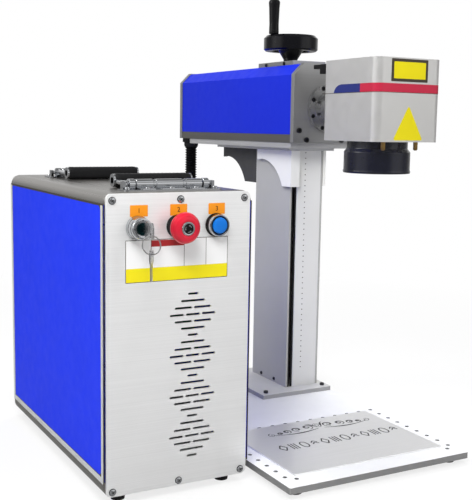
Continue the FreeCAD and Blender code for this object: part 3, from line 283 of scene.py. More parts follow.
M["lens_glass"] = lens_glass_material()
M["key"] = two_zone(metal("key_steel", srgb(205, 205, 206), 0.22, 0.1), "Y", -0.3265,
                    srgb(28, 58, 62))
M["base"] = two_zone(painted("base_white", srgb(128, 128, 128), 0.38, 0.03, 0.1), "Z", 0.0174,
                     srgb(246, 247, 248))
# The foot's sides below its top are a darker grey than the top: painted shade on the side faces.
M["foot"] = two_zone(painted("foot_silver", srgb(160, 160, 160), 0.40, 0.02, 0.08), "Z", 0.0253,
                     srgb(212, 212, 211))


# Shapes: points in millimetres in the CAD's frame, made into pieces in metres

class Shape:
    """Points and faces gathered into one piece."""

    def __init__(self):
        self.points = []
        self.faces = []

    def add(self, points, faces):
        """Takes in points, and faces numbered from the first of them."""
        start = len(self.points)
        self.points += [tuple(p) for p in points]
        self.faces += [tuple(i + start for i in face) for face in faces]
        return self

    def loops(self, rings, closed_ends=True, wrap=False):
        """Skins equal rings of points, one after the other."""
        count = len(rings[0])
        points = [p for one in rings for p in one]
        faces = []
        steps = len(rings) if wrap else len(rings) - 1
        for i in range(steps):
            a = i * count
            b = ((i + 1) % len(rings)) * count
            for j in range(count):
                k = (j + 1) % count
                faces.append((a + j, a + k, b + k, b + j))
        if closed_ends and not wrap:
            faces.append(tuple(reversed(range(count))))
            faces.append(tuple(range(len(points) - count, len(points))))
        return self.add(points, faces)

    def lathe(self, axis, centre, profile, segments=48):
        """Turns (radius, height) points about an axis; a closed profile has no ends."""
        rings = [[along(axis, centre, u, v, height) for u, v in circle(0, 0, radius, segments)]
                 for radius, height in profile]
        has_ends = profile[0] != profile[-1]
        if not has_ends:
            rings.pop()
        return self.loops(rings, has_ends, not has_ends)

    def prism(self, plane, outline, start, thick):
        """A flat outline with thickness."""
        low = [spot(plane, a, b, start) for a, b in outline]
        high = [spot(plane, a, b, start + thick) for a, b in outline]
        return self.loops([low, high])

    def frame(self, plane, outer, inner, start, thick):
        """A flat ring between two outlines with equal numbers of points."""
        rings = [[spot(plane, a, b, h) for a, b in line]
                 for line, h in ((outer, start), (outer, start + thick),
                                 (inner, start + thick), (inner, start))]
        return self.loops(rings, False, True)

    def sweep(self, path, section):
        """A section carried along a path with a steady frame."""
        return self.loops(carried(path, section))

    def join(self, other):
        """Takes in all of another shape."""
        return self.add(other.points, other.faces)

    def piece(self, name, material, body, slot=None, bevel=0.0, angle=32, segments=2):
        """Makes the scene's object, on its body and with its finish."""
        mesh = bpy.data.meshes.new(name)
        mesh.from_pydata([tuple(c * MM for c in p) for p in self.points], [], self.faces)
        mesh.validate()
        mesh.update()
        obj = bpy.data.objects.new(name, mesh)
        bpy.context.scene.collection.objects.link(obj)
        outward(mesh)
        mesh.materials.append(M[material])
        mesh.shade_smooth()
        mesh.set_sharp_from_angle(angle=math.radians(angle))
        if bevel:
            soften(obj, bevel, segments)
        if body:
            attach(obj, body)
        return obj


def outward(mesh):
    """Turns every face's normal outwards."""
    work = bmesh.new()
    work.from_mesh(mesh)
    bmesh.ops.recalc_face_normals(work, faces=work.faces)
    work.to_mesh(mesh)
    work.free()


BEVEL_ANGLE = 34
WELD_REACH = 0.00001


def soften(obj, width, segments=2, weld=False):
    """Rounds the edges, with normals that keep the flats flat."""
    if weld:
        join = obj.modifiers.new("join", "WELD")
        join.merge_threshold = WELD_REACH
    round_edges = obj.modifiers.new("round_edges", "BEVEL")
    round_edges.width = width * MM
    round_edges.segments = segments
    round_edges.limit_method = "ANGLE"
    round_edges.angle_limit = math.radians(BEVEL_ANGLE)
    round_edges.use_clamp_overlap = True
    round_edges.miter_outer = "MITER_ARC"
    shine = obj.modifiers.new("shine", "WEIGHTED_NORMAL")
    shine.mode = "FACE_AREA"
    shine.weight = 60
    return obj


def along(axis, centre, u, v, h):
    """A point at a height along an axis through a centre, and u and v across it."""
    x, y, z = centre
    if axis == "X":
        return (x + h, y + u, z + v)
    if axis == "Y":
        return (x + u, y + h, z + v)
    return (x + u, y + v, z + h)


def spot(plane, a, b, h):
    """A point of a plane, at a height over it."""
    if plane == "YZ":
        return (h, a, b)
    if plane == "XZ":
        return (a, h, b)
    return (a, b, h)


def rounded(a0, a1, b0, b1, radius, steps=6):
    """The outline of a rectangle with round corners; radius may be four numbers."""
    radii = radius if isinstance(radius, (list, tuple)) else [radius] * 4
    corners = [(a1, b0, -90), (a1, b1, 0), (a0, b1, 90), (a0, b0, 180)]
    outline = []
    for (a, b, turn), r in zip(corners, radii):
        ca = a - r if a == a1 else a + r
        cb = b - r if b == b1 else b + r
        for i in range(steps + 1):
            angle = math.radians(turn + 90 * i / steps)
            outline.append((ca + r * math.cos(angle), cb + r * math.sin(angle)))
    return outline


def circle(a, b, radius, steps=32):
    return [(a + radius * math.cos(2 * math.pi * i / steps),
             b + radius * math.sin(2 * math.pi * i / steps)) for i in range(steps)]


def carried(path, section):
    """Rings of (across, up) points along a path; section is a list or a function of place."""
    path = [Vector(p) for p in path]
    rings = []
    side = None
    for i, p in enumerate(path):
        ahead = path[min(i + 1, len(path) - 1)] - path[max(i - 1, 0)]
        ahead.normalize()
        if side is None:
            start = Vector((0, 0, 1)) if abs(ahead.z) < 0.9 else Vector((1, 0, 0))
            side = ahead.cross(start).normalized()
        side = (side - ahead * side.dot(ahead)).normalized()
        up = side.cross(ahead)
        points = section(i) if callable(section) else section
        rings.append([tuple(p + side * u + up * v) for u, v in points])
    return rings


def dress(names, material, bevel=0.0, segments=2):
    """Gives CAD nodes their material and softens their edges."""
    for name in names.split():
        obj = NODES[name]
        if not obj.material_slots:
            obj.data.materials.append(M[material])
        for one in obj.material_slots:
            one.material = M[material]
        if bevel:
            soften(obj, bevel, segments, True)


# Camera at the photograph's place

CAMERA_PLACE = (-0.6994, -1.4039, 0.5053)
YAW, PITCH, ROLL = math.radians(28.857), math.radians(7.634), math.radians(0.944)
FOCAL_PIXELS = 912.97
PHOTO_TALL = 500
SENSOR = 36.0


def camera():
    ahead = Vector((math.sin(YAW) * math.cos(PITCH), math.cos(YAW) * math.cos(PITCH),
                    -math.sin(PITCH)))
    level = Vector((math.cos(YAW), -math.sin(YAW), 0))
    upright = level.cross(ahead)
    right = level * math.cos(ROLL) + upright * math.sin(ROLL)
    up = upright * math.cos(ROLL) - level * math.sin(ROLL)
    data = bpy.data.cameras.new("camera")
    data.sensor_width = SENSOR
    data.sensor_fit = "AUTO"
    data.lens = FOCAL_PIXELS * SENSOR / PHOTO_TALL
    obj = bpy.data.objects.new("camera", data)
    turn = Matrix((right, up, -ahead)).transposed().to_4x4()
    obj.matrix_world = Matrix.Translation(CAMERA_PLACE) @ turn
    bpy.context.scene.collection.objects.link(obj)
    bpy.context.scene.camera = obj


camera()


# Hose

HOSE_ROUTE = [
    (0.165, 0.372, 0.463), (0.165, 0.372, 0.385), (0.164, 0.372, 0.300), (0.159, 0.371, 0.213),
    (0.136, 0.369, 0.128), (0.084, 0.366, 0.062), (0.012, 0.361, 0.030), (-0.060, 0.352, 0.036),
    (-0.128, 0.338, 0.060), (-0.182, 0.308, 0.098), (-0.210, 0.262, 0.132),
    (-0.222, 0.204, 0.150), (-0.222, 0.152, 0.150),
]
HAIR = 1e-9
RIB_PITCH = 0.0052
RIB_RADIUS = 12.5
ROOT_RADIUS = 10.4
SHOULDER = RIB_RADIUS - 0.35


def route_points():
    """The line of the hose's own smooth spline."""
    curve = bpy.data.curves.new("hose_route", "CURVE")
    curve.dimensions = "3D"
    curve.resolution_u = 40
    spline = curve.splines.new("NURBS")
    spline.points.add(len(HOSE_ROUTE) - 1)
    for point, place in zip(spline.points, HOSE_ROUTE):
        point.co = (*place, 1)
    spline.order_u = 3
    spline.use_endpoint_u = True
    holder = bpy.data.objects.new("hose_route", curve)
    mesh = bpy.data.meshes.new_from_object(holder)
    points = [v.co.copy() for v in mesh.vertices]
    bpy.data.objects.remove(holder)
    bpy.data.curves.remove(curve)
    bpy.data.meshes.remove(mesh)
    return points


def evenly(points, pitch):
    """Places at equal steps along a line, and its length."""
    total = sum((b - a).length for a, b in zip(points, points[1:]))
    count = round(total / pitch)
    step = total / count
    places = [points[0]]
    need = step
    walked = 0.0
    for a, b in zip(points, points[1:]):
        run = (b - a).length
        while need <= walked + run + HAIR and len(places) < count:
            places.append(a.lerp(b, (need - walked) / run))
            need += step
        walked += run
    places.append(points[-1])
    return places, total


RIB_SHAPE = [ROOT_RADIUS, SHOULDER, RIB_RADIUS, SHOULDER, ROOT_RADIUS, ROOT_RADIUS - 0.15]


def hose():
    places, total = evenly(route_points(), RIB_PITCH / len(RIB_SHAPE))
    millimetres = [p / MM for p in places]
    last = len(places) - 1

    def section(i):
        radius = ROOT_RADIUS if i in (0, last) else RIB_SHAPE[i % len(RIB_SHAPE)]
        return circle(0, 0, radius, 28)

    tube = Shape().sweep(millimetres, section).piece("ribbed_hose", "hose", None, angle=70)
    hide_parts("hose")
    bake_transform(tube)


hose()


# Frame finishes

FINISHES = [
    # nodes, material, bevel in millimetres if any, and its segments if not two
    ("cabinet_top cabinet_base", "shell", 0.6),
    ("cabinet_left_panel cabinet_right_panel", "blue", 0.5),
    ("front_panel rear_panel", "panel"),
    ("mains_inlet fan_frame fan_rotor", "plastic", 0.4),
    ("cabinet_gland arm_gland galvo_connector", "plastic", 0.8),
    ("laser_source power_supply collimator galvo_motors carriage", "machined", 0.5),
    ("control_board", "board", 0.2),
    ("key_switch button_bezel estop_base handle_plates front_bail rear_bail", "chrome", 0.5),
    ("key_cylinder", "key", 0.3),
    ("key_ring", "steel"),
    ("estop_plunger lead_screw guide_shafts screw_bearings", "steel", 0.3),
    ("estop_head", "red"),
    ("button_cap", "button", 0.5),
    ("base_plate", "base", 0.5),
    ("rubber_feet dust_lips", "rubber", 0.6),
    ("column_foot", "foot", 0.7),
    ("column_housing", "column", 0.8),
    ("column_cover", "cover", 0.4),
    ("column_cap", "cap", 0.8),
    ("work_sheet", "sheet", 0.2),
    ("root_screws arm_screws", "dark_steel", 0.3),
    ("handwheel", "gloss", 1.0, 3),
    ("crank_grip", "plastic", 0.6),
    ("arm_front_plate arm_rear_plate", "end_plate", 0.7),
    ("arm_cover", "arm_blue", 0.9),
    ("arm_tray", "tray", 0.6),
    ("arm_support_plate", "support", 0.6),
    ("lift_brackets", "bracket", 0.5),
    # rear_bracket takes the painted-shade grey, darker than the pale lift brackets
    ("rear_bracket", "shaded_bracket", 0.5),
    ("beam_tube", "machined", 0.6),
    ("galvo_housing galvo_cover", "head", 0.7),
    ("mirror_x mirror_y", "chrome"),
    ("lens_barrel", "lens", 0.8),
    ("lens_glass", "lens_glass"),
    ("lock_screws", "brass", 0.4),
]

for finish in FINISHES:
    dress(*finish)


# Cabinet details

FRONT = -307.0
REAR = 134.0
CABINET_X = -180.0
SWITCH_Z = 374.0
KEY_X, STOP_X, BUTTON_X = -242.0, -185.0, -127.0
PANEL_SCREWS = [(x, z) for x in (-277, -180, -83) for z in (20, 410)]


SCREW_DOME = [(0.93, 0.3), (0.93, 0.55), (0.86, 0.75), (0.6, 0.93), (0.3, 1.0), (0, 1.0)]
RECESS_BAR = ((-0.5, -0.11), (0.5, -0.11), (0.5, 0.11), (-0.5, 0.11))
RECESS_TURN = 0.6


def pan_heads(places, axis, way, radius):
    """Domed screw heads on dark washers, each with its cross recess drawn as dark bars: painted
    shade.
    """
    heads, washers, crosses = Shape(), Shape(), Shape()
    height = radius * 0.56
    for place in places:
        heads.lathe(axis, place, [(r * radius, way * h * height) for r, h in SCREW_DOME], 24)
        rim = [(radius * 1.12, 0), (radius * 1.12, way * 0.5), (radius * 0.9, way * 0.8)]
        washers.lathe(axis, place, rim, 28)
        # The cross is a pair of dark bars on the dome, not a hollow: painted recess shade.
        for turn in (RECESS_TURN, RECESS_TURN + math.pi / 2):
            bar = []
            for u, v in RECESS_BAR:
                a = u * math.cos(turn) - v * math.sin(turn)
                b = u * math.sin(turn) + v * math.cos(turn)
                bar.append((a * radius, b * radius))
            low = [along(axis, place, a, b, way * height * 0.8) for a, b in bar]
            high = [along(axis, place, a, b, way * (height + 0.04)) for a, b in bar]
            crosses.loops([low, high])
    return heads, washers, crosses


def pan_head_pieces(name, shapes):
    """The pieces of a set of screws; returns the heads."""
    heads, washers, crosses = shapes
    piece = heads.piece(name + "_heads", "chrome", "root", "steel")
    washers.piece(name + "_washers", "dark_steel", "root", "steel")
    crosses.piece(name + "_recess_shade", "dark_hole", "root")
    return piece


def panel_screws():
    shapes = [Shape(), Shape(), Shape()]
    for face, way in ((FRONT, -1), (REAR, 1)):
        places = [(x, face, z) for x, z in PANEL_SCREWS]
        for whole, part in zip(shapes, pan_heads(places, "Y", way, 4.6)):
            whole.join(part)
    heads = pan_head_pieces("panel_screw", shapes)
    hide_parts("root_screws")


def side_trims():
    """Silver frames round the blue skins, each over a dark strip: painted shadow of the gap."""
    front, back, low, high = -304.2, 133.0, 31.8, 404.0
    front_width, width = 7, 8
    strip = [(front, high), (front, low), (back, low), (back, high), (back - width, high),
             (back - width, low + width), (front + front_width, low + width),
             (front + front_width, high)]
    for name, face, thick in (("left_trim", -288.6, -0.8), ("right_trim", -71.4, 0.8)):
        Shape().prism("YZ", strip, face, thick).piece(name, "trim", "root",
                                                      "brushed_aluminium", 0.25)
        # The dark frame under each trim is painted shadow of the gap between panel and shell.
        gap_outer = rounded(-306.8, 133.6, 31.2, 405.9, 2)
        gap_inner = rounded(-296.0, 123.4, 41.0, 403.0, [2, 2, 8, 8])
        Shape().frame("YZ", gap_outer, gap_inner, face, thick * 0.6).piece(
            name + "_gap_shade", "dark_print_and_gap_shade", "root")


def plate(name, x0, x1, z0, z1, front, thick, material, radius=0.8, body="root"):
    """A thin plate on a front face."""
    shape = Shape().prism("XZ", rounded(x0, x1, z0, z1, radius), front, -thick)
    return shape.piece(name, material, body, None, 0.12, segments=1)


def numeral(text, x, z, size):
    """A plain numeral, flat on the front panel's plate."""
    curve = bpy.data.curves.new("numeral", "FONT")
    curve.body = text
    curve.size = size * MM
    curve.extrude = 0.00008
    curve.align_x = "CENTER"
    curve.align_y = "CENTER"
    holder = bpy.data.objects.new("numeral", curve)
    mesh = bpy.data.meshes.new_from_object(holder)
    bpy.data.objects.remove(holder)
    mesh.name = "numeral_" + text
    turn = Matrix.Rotation(math.pi / 2, 4, "X")
    mesh.transform(Matrix.Translation(Vector((x, FRONT - 0.48, z)) * MM) @ turn)
    obj = bpy.data.objects.new("numeral_" + text, mesh)
    bpy.context.scene.collection.objects.link(obj)
    mesh.materials.clear()
    mesh.materials.append(M["ink"])
    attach(obj, "root")


def control_labels():
    for text, x in (("1", -240), ("2", -183), ("3", -126)):
        plate("control_label_" + text, x - 12.5, x + 12.5, 388.5, 403.5, FRONT, 0.4, "orange")
        numeral(text, x, 396, 9)


def notice_plate():
    """A blank plate of white cells over a yellow band."""
    x0, x1, z0, z1 = -258.0, -109.0, 302.0, 357.0
    width, split = x1 - x0, z0 + (z1 - z0) * 0.33
    plate("notice_rim", x0 - 0.8, x1 + 0.8, z0 - 0.8, z1 + 0.8, FRONT, 0.25, "dark_print_and_gap_shade")
    plate("notice_white", x0, x1, split, z1, FRONT, 0.38, "white_label", 0.3)
    plate("notice_yellow", x0, x1, z0, split, FRONT, 0.40, "yellow", 0.3)
    lines = Shape()
    for share in (0.237, 0.561, 0.781):
        x = x0 + width * share
        outline = [(x - 0.35, split), (x + 0.35, split), (x + 0.35, z1), (x - 0.35, z1)]
        lines.prism("XZ", outline, FRONT - 0.3, -0.16)
    lines.piece("notice_lines", "dark_print_and_gap_shade", "root")
    cell = (x0 + width * 0.237 + 0.4, x0 + width * 0.561 - 0.4)
    plate("notice_red", cell[0], cell[1], z1 - 9, z1 - 0.4, FRONT - 0.3, 0.14, "label_red", 0.2)


def sleeve(name, axis, centre, profile, material, body, slot):
    """A turned ring or cover from (radius, outward height) points; outward on Y is -Y."""
    way = -1 if axis == "Y" else 1
    turned = [(r, way * h) for r, h in profile]
    Shape().lathe(axis, centre, turned, 64).piece(name, material, body, slot, angle=38)


def key_switch_cover():
    centre = (KEY_X, FRONT, SWITCH_Z)
    sleeve("key_collar", "Y", centre,
           [(14.9, 0), (16.2, 0), (16.2, 2.2), (15.6, 3.0), (15.3, 4.6), (14.5, 5.0),
            (14.5, 6.2), (15.2, 6.6), (14.9, 12.4), (14.2, 13.0), (14.2, 13.8), (14.6, 14.2),
            (14.3, 17.0), (13.3, 18.5), (11.6, 18.9), (9.6, 18.6), (8.3, 18.0), (8.3, 17.4),
            (12.5, 17.0), (12.5, 1.0), (14.9, 0)], "chrome", "root", "bright_chrome")
    dots = Shape()
    for turn in (90, 180):
        a = math.radians(turn)
        place = (KEY_X + 11.2 * math.cos(a), FRONT - 18.4, SWITCH_Z + 11.2 * math.sin(a))
        dots.lathe("Y", place, [(0.9, 0.3), (0.9, -0.75), (0.6, -0.9)], 16)
    dots.piece("key_marks", "dark_hole", "root")


def stop_button_cover():
    centre = (STOP_X, FRONT, SWITCH_Z)
    sleeve("stop_collar", "Y", centre,
           [(14.9, 0), (15.6, 0), (15.6, 2.4), (14.9, 3.4), (14.4, 6.6), (13.6, 8.4),
            (9.6, 8.8), (9.6, 8.0), (12.4, 7.6), (12.4, 1), (14.9, 0)],
           "plastic", "root", "black_plastic")
    face = (STOP_X, -342.0, SWITCH_Z)
    sleeve("stop_ring", "Y", face,
           [(6.4, -1.0), (9.1, -1.2), (9.4, 0.1), (8.8, 0.9), (7.6, 1.1), (6.7, 0.7),
            (6.4, -0.2), (6.4, -1.0)], "chrome", "stop_head", "bright_chrome")
    sleeve("stop_insert", "Y", face, [(6.6, -2.2), (6.6, -0.5), (5.8, 0.0), (2.0, 0.2)],
           "dark_hole", "stop_head", "black_plastic")
    marks = Shape()
    radius, thick, arc, steps = 4.4, 0.35, math.radians(66), 8
    for turn in (20, 140, 260):
        rings = []
        for i in range(steps + 1):
            a = math.radians(turn) + arc * i / steps
            wide = 0.55 if i < 6 else 1.3 * (steps - i) / 2 + 0.08
            section = ((radius - wide, 0.0), (radius + wide, 0.0), (radius + wide, -thick),
                       (radius - wide, -thick))
            rings.append([(face[0] + r * math.cos(a), face[1] + h, face[2] + r * math.sin(a))
                          for r, h in section])
        marks.loops(rings)
    marks.piece("stop_arrows", "chrome", "stop_head", "bright_chrome")


def button_cover():
    centre = (BUTTON_X, FRONT, SWITCH_Z)
    sleeve("button_collar", "Y", centre,
           [(14.9, 0), (16.0, 0), (16.0, 2.0), (15.2, 2.8), (14.5, 3.2), (14.5, 4.2),
            (15.0, 4.6), (15.0, 8.2), (12.4, 8.2), (12.4, 1), (14.9, 0)],
           "plastic", "root", "black_plastic")
    sleeve("button_rim", "Y", centre,
           [(12.4, 8.2), (15.1, 8.2), (15.2, 11.0), (14.5, 12.6), (13.5, 13.0), (12.9, 12.5),
            (12.9, 11.4), (12.4, 11.4), (12.4, 8.2)], "chrome", "root", "bright_chrome")
    sleeve("button_seal", "Y", centre,
           [(11.15, 10.6), (12.95, 10.6), (12.95, 12.2), (11.8, 12.6), (11.15, 12.2),
            (11.15, 10.6)], "dark_hole", "root", "black_plastic")
    sleeve("button_lens", "Y", centre,
           [(10.9, 8.0), (10.9, 13.1), (10.2, 14.1), (9.0, 14.6), (5.0, 14.9), (1.5, 15.0)],
           "button", "button", "button_blue")


PIVOT_Z = 428.0
COVER_TOP = 420.0
HANDLE_REACH = 56
GRIP_START = -240
GRIP_STEP = 3.0
GRIP_RINGS = 41
GRIP_HALF = (11, 9.6)
GRIP_CORNER = 6.5
GROOVE = 0.021


def grip_size(i):
    """A ring's share of the grip's full size: narrow at the ends, with shallow grooves."""
    end = min(i, GRIP_RINGS - 1 - i)
    size = (0.45, 0.86, 1.0)[min(end, 2)]
    return size - (GROOVE if end > 3 and i % 2 else 0.0)


def grip(y):
    rings = []
    for i in range(GRIP_RINGS):
        size = grip_size(i)
        half, tall = GRIP_HALF[0] * size, GRIP_HALF[1] * size
        outline = rounded(-half, half, -tall, tall, GRIP_CORNER * size, 5)
        rings.append([(GRIP_START + i * GRIP_STEP, y + a, PIVOT_Z + 2 + b) for a, b in outline])
    return Shape().loops(rings)


def handle_details():
    """Rubber grips, hinge knuckles, straps, rivets and arms of the two folding handles."""
    for name, body, pivot, way in (("front", "front_handle", -267, 1),
                                   ("rear", "rear_handle", 44, -1)):
        grip_y = pivot + HANDLE_REACH * way
        grip(grip_y).piece(name + "_grip", "rubber", body, "rubber_black", angle=50)
        knuckles, rivets, straps = Shape(), Shape(), Shape()
        for x0, x1 in ((-229, -204), (-200, -160), (-156, -131)):
            knuckles.lathe("X", (x0, pivot, PIVOT_Z),
                           [(6.2, 0), (7.0, 0.8), (7.0, x1 - x0 - 0.8), (6.2, x1 - x0)], 28)
            far = pivot - way * 19
            strap = rounded(x0 + 1, x1 - 1, min(pivot - 5, far), max(pivot + 5, far), 2.5)
            straps.prism("XY", strap, COVER_TOP + 1.6, 1.6)
        for x in (-245, -216, -180, -144, -115):
            y = pivot - way * 13
            rivets.lathe("Z", (x, y, COVER_TOP + 1.9),
                         [(3.6, 0), (3.6, 1.6), (3.0, 2.6), (1.4, 3.1), (0.4, 3.2)], 20)
        knuckles.piece(name + "_knuckles", "chrome", "root", "bright_chrome")
        straps.piece(name + "_straps", "chrome", "root", "bright_chrome", 0.4)
        rivets.piece(name + "_rivets", "chrome", "root", "bright_chrome")
        eyes = Shape()
        for x in (-235, -125):
            eyes.lathe("X", (x - 4.6, pivot, PIVOT_Z),
                       [(6.3, 0), (7.4, 0.6), (7.4, 8.6), (6.3, 9.2)], 28)
            eyes.sweep([(x, pivot + way * 4, PIVOT_Z), (x, pivot + way * 14, PIVOT_Z),
                        (x, grip_y - way * 11, PIVOT_Z + 0.6)],
                       lambda i: circle(0, 0, (6.0, 4.4, 4.0)[i], 20))
        eyes.piece(name + "_arms", "chrome", body, "bright_chrome")


RIDGE_CHAMFER = 0.8


def ribbed_ring(shape, axis, centre, radius, depth, count, low, high):
    """A grip ring with a ridge for every tooth."""
    rings = []
    steps = count * 4
    for h, r in ((low, radius - depth), (low + RIDGE_CHAMFER, radius),
                 (high - RIDGE_CHAMFER, radius), (high, radius - depth)):
        ring = []
        for i in range(steps):
            a = 2 * math.pi * i / steps
            tooth = r - (depth if i % 4 in (0, 1) else 0.0)
            ring.append(along(axis, centre, tooth * math.cos(a), tooth * math.sin(a), h))
        rings.append(ring)
    return shape.loops(rings)


def glands():
    for name, axis, centre, way, body in (
            ("cabinet", "Y", (-222, REAR, 150), 1, "root"),
            ("arm", "Z", (165, 372, 481), -1, "arm")):
        nut = Shape()
        ribbed_ring(nut, axis, centre, 18.2, 0.7, 22, min(0, way * 8.2), max(0, way * 8.2))
        nut.piece(name + "_gland_nut", "plastic", body, "black_plastic", angle=24)
        cap = Shape()
        cap.lathe(axis, centre, [(14.6, way * 8), (15.0, way * 9), (14.8, way * 15),
                                 (13.2, way * 18.4), (11.6, way * 18.4), (11.6, way * 8),
                                 (14.6, way * 8)], 40)
        cap.piece(name + "_gland_cap", "rubber", body, "black_plastic")


FAN_Z = 330
GUARD_RINGS = (14, 24, 34, 44, 54)
GUARD_REACH = 70


def fan_guard():
    """Finger guard of round wires over the rear fan slots."""
    guard = Shape()
    x, y, z = centre = (CABINET_X, REAR + 2.4, FAN_Z)
    for radius in GUARD_RINGS:
        ring = [(a, y, b) for a, b in circle(x, z, radius, 48)]
        guard.loops([[tuple(Vector(p) + offset) for offset in wire_section(p, centre)]
                     for p in ring], False, True)
    for turn in (45, 135, 225, 315):
        across, up = math.cos(math.radians(turn)), math.sin(math.radians(turn))
        spoke = [(x + reach * across, y + lift, z + reach * up)
                 for reach, lift in ((GUARD_RINGS[0], 1.2), (GUARD_REACH, 0.6))]
        guard.sweep(spoke, circle(0, 0, 1.0, 8))
    guard.piece("fan_guard", "chrome", "root", "bright_chrome")
    places = [(CABINET_X + dx, REAR, FAN_Z + dz) for dx in (-50, 50) for dz in (-50, 50)]
    pan_head_pieces("fan_screw", pan_heads(places, "Y", 1, 4.0))


def wire_section(p, centre):
    """The round section of a guard wire at a point of its ring."""
    out = (Vector(p) - Vector(centre)).normalized()
    return [out * u + Vector((0, v, 0)) for u, v in circle(0, 0, 0.8, 8)]


panel_screws()
side_trims()
control_labels()
notice_plate()
key_switch_cover()
stop_button_cover()
button_cover()
handle_details()
glands()
fan_guard()


# Stand details

COLUMN_X = 219.0
TABLE = 18.0
SHEET_TOP = 20.0
MARK = 2.2
SCALE_X = 216


def scale_marks():
    """A row of small square marks down the column's cover."""
    marks = Shape()
    wide, tall = 1.1, 0.8
    for z in range(62, 606, 10):
        outline = [(SCALE_X - wide, z - tall), (SCALE_X + wide, z - tall),
                   (SCALE_X + wide, z + tall), (SCALE_X - wide, z + tall)]
        marks.prism("XZ", outline, 0.1, -0.22)
    marks.piece("scale_marks", "dark_print_and_gap_shade", "root")


def socket_heads(places, axis, way, radius, height):
    """Cap screws: a plain head with a shallow recess and a dark hexagon in it: painted socket
    shade.
    """
    heads, sockets = Shape(), Shape()
    mouth = radius * 0.62
    hexagon = circle(0, 0, radius * 0.58, 6)
    for place in places:
        heads.lathe(axis, place, [(radius, 0), (radius, way * (height - 0.5)),
                                  (radius - 0.5, way * height), (mouth, way * height),
                                  (mouth, way * (height - 0.3))], 28)
        # The hexagon is a dark prism inside a shallow recess: painted socket shade.
        low = [along(axis, place, a, b, way * (height - 0.6)) for a, b in hexagon]
        high = [along(axis, place, a, b, way * (height - 0.22)) for a, b in hexagon]
        sockets.loops([low, high])
    return heads, sockets


def stand_screws():
    bolts = [(x, y, 26) for y in (-15, 138) for x in (133, 256)]
    heads, sockets = socket_heads(bolts, "Z", 1, 4.2, 4.2)
    heads.piece("foot_bolt_heads", "dark_steel", "root", "steel")
    sockets.piece("foot_bolt_socket_shade", "dark_hole", "root")
    side = [(184, 30, 621.5), (184, 93, 621.5), (184, 88, 33), (184, 41, 33)]
    heads, sockets = socket_heads(side, "X", -1, 3.2, 1.8)
    heads.piece("column_screw_heads", "dark_steel", "root", "steel")
    sockets.piece("column_screw_socket_shade", "dark_hole", "root")


HOLE_PITCH = 25
HOLE_ROWS = 9
HOLE_COLUMNS = 13
HOLES_LEFT = -39.5
HOLES_FRONT = -360


def tapped_rims():
    """Dark rings round the tapped holes of the table: painted shade of the holes."""
    rims = Shape()
    places = [(HOLES_LEFT + column * HOLE_PITCH, HOLES_FRONT + row * HOLE_PITCH)
              for row in range(HOLE_ROWS) for column in range(HOLE_COLUMNS)
              if column in (0, HOLE_COLUMNS - 1) or row == HOLE_ROWS - 1]
    places += [(-27.5, -372), (248.5, -372)]
    for x, y in places:
        rims.lathe("Z", (x, y, TABLE - 0.3),
                   [(2.45, 0), (3.3, 0), (3.3, 0.36), (2.45, 0.30), (2.45, 0)], 20)
    rims.piece("tapped_hole_shade_rims", "dark_hole", "root")


def engrave(shape, path, width):
    """A shallow dark line on the sheet along a flat path."""
    rings = []
    for i, (x, y) in enumerate(path):
        ahead = Vector(path[min(i + 1, len(path) - 1)]) - Vector(path[max(i - 1, 0)])
        side = Vector((-ahead.y, ahead.x)).normalized()
        wide = width(i / (len(path) - 1)) if callable(width) else width
        a = Vector((x, y)) + side * wide / 2
        b = Vector((x, y)) - side * wide / 2
        rings.append([(a.x, a.y, SHEET_TOP - 0.1), (a.x, a.y, SHEET_TOP + 0.07),
                      (b.x, b.y, SHEET_TOP + 0.07), (b.x, b.y, SHEET_TOP - 0.1)])
    shape.loops(rings)


def scroll(x, y, reach, turns, start, way):
    """A spiral that winds in from a point."""
    points = []
    for i in range(33):
        t = i / 32
        a = start + way * turns * 2 * math.pi * t
        r = reach * (1 - t) ** 0.9
        points.append((x + r * math.cos(a), y + r * math.sin(a)))
    return points


def swell(t):
    """The width of a stroke from its start to its end."""
    return 1.2 + 3.0 * math.sin(math.pi * min(1.0, t * 1.15)) ** 2 * (1 - 0.4 * t)


def sheet_engraving():
    """A plain scroll border over a row of simple shapes."""
    lines = Shape()
    middle, base = 125.0, -208.0
    for side in (-1, 1):
        engrave(lines, [(middle + side * (6 + 84 * i / 30), base - 7 * math.sin(math.pi * i / 30))
                        for i in range(31)], swell)
        engrave(lines, scroll(middle + side * 92, base + 3, 7, 1.3, math.pi / 2, -side), 1.2)
        for k, (dx, dy, reach) in enumerate(((20, 12, 10), (42, 10, 9), (62, 7, 7.5),
                                             (76, 4, 5))):
            engrave(lines, scroll(middle + side * dx, base + dy, reach, 1.5, -math.pi / 2,
                                  side * (1 if k % 2 else -1)), swell)
        engrave(lines, [(middle + side * (4 + 12 * i / 12),
                         base + 6 + 20 * math.sin(math.pi * i / 24)) for i in range(13)], swell)
    for r in (3.0, 6.0):
        engrave(lines, [(middle + r * math.cos(a * math.pi / 12),
                         base + 14 + r * 1.4 * math.sin(a * math.pi / 12)) for a in range(25)],
                0.9)
    for k in range(12):
        mark_shape(lines, k % 4, 18 + 19.2 * k, -263.0, 8.0)
    lines.piece("sheet_engraving", "engraved", "root")


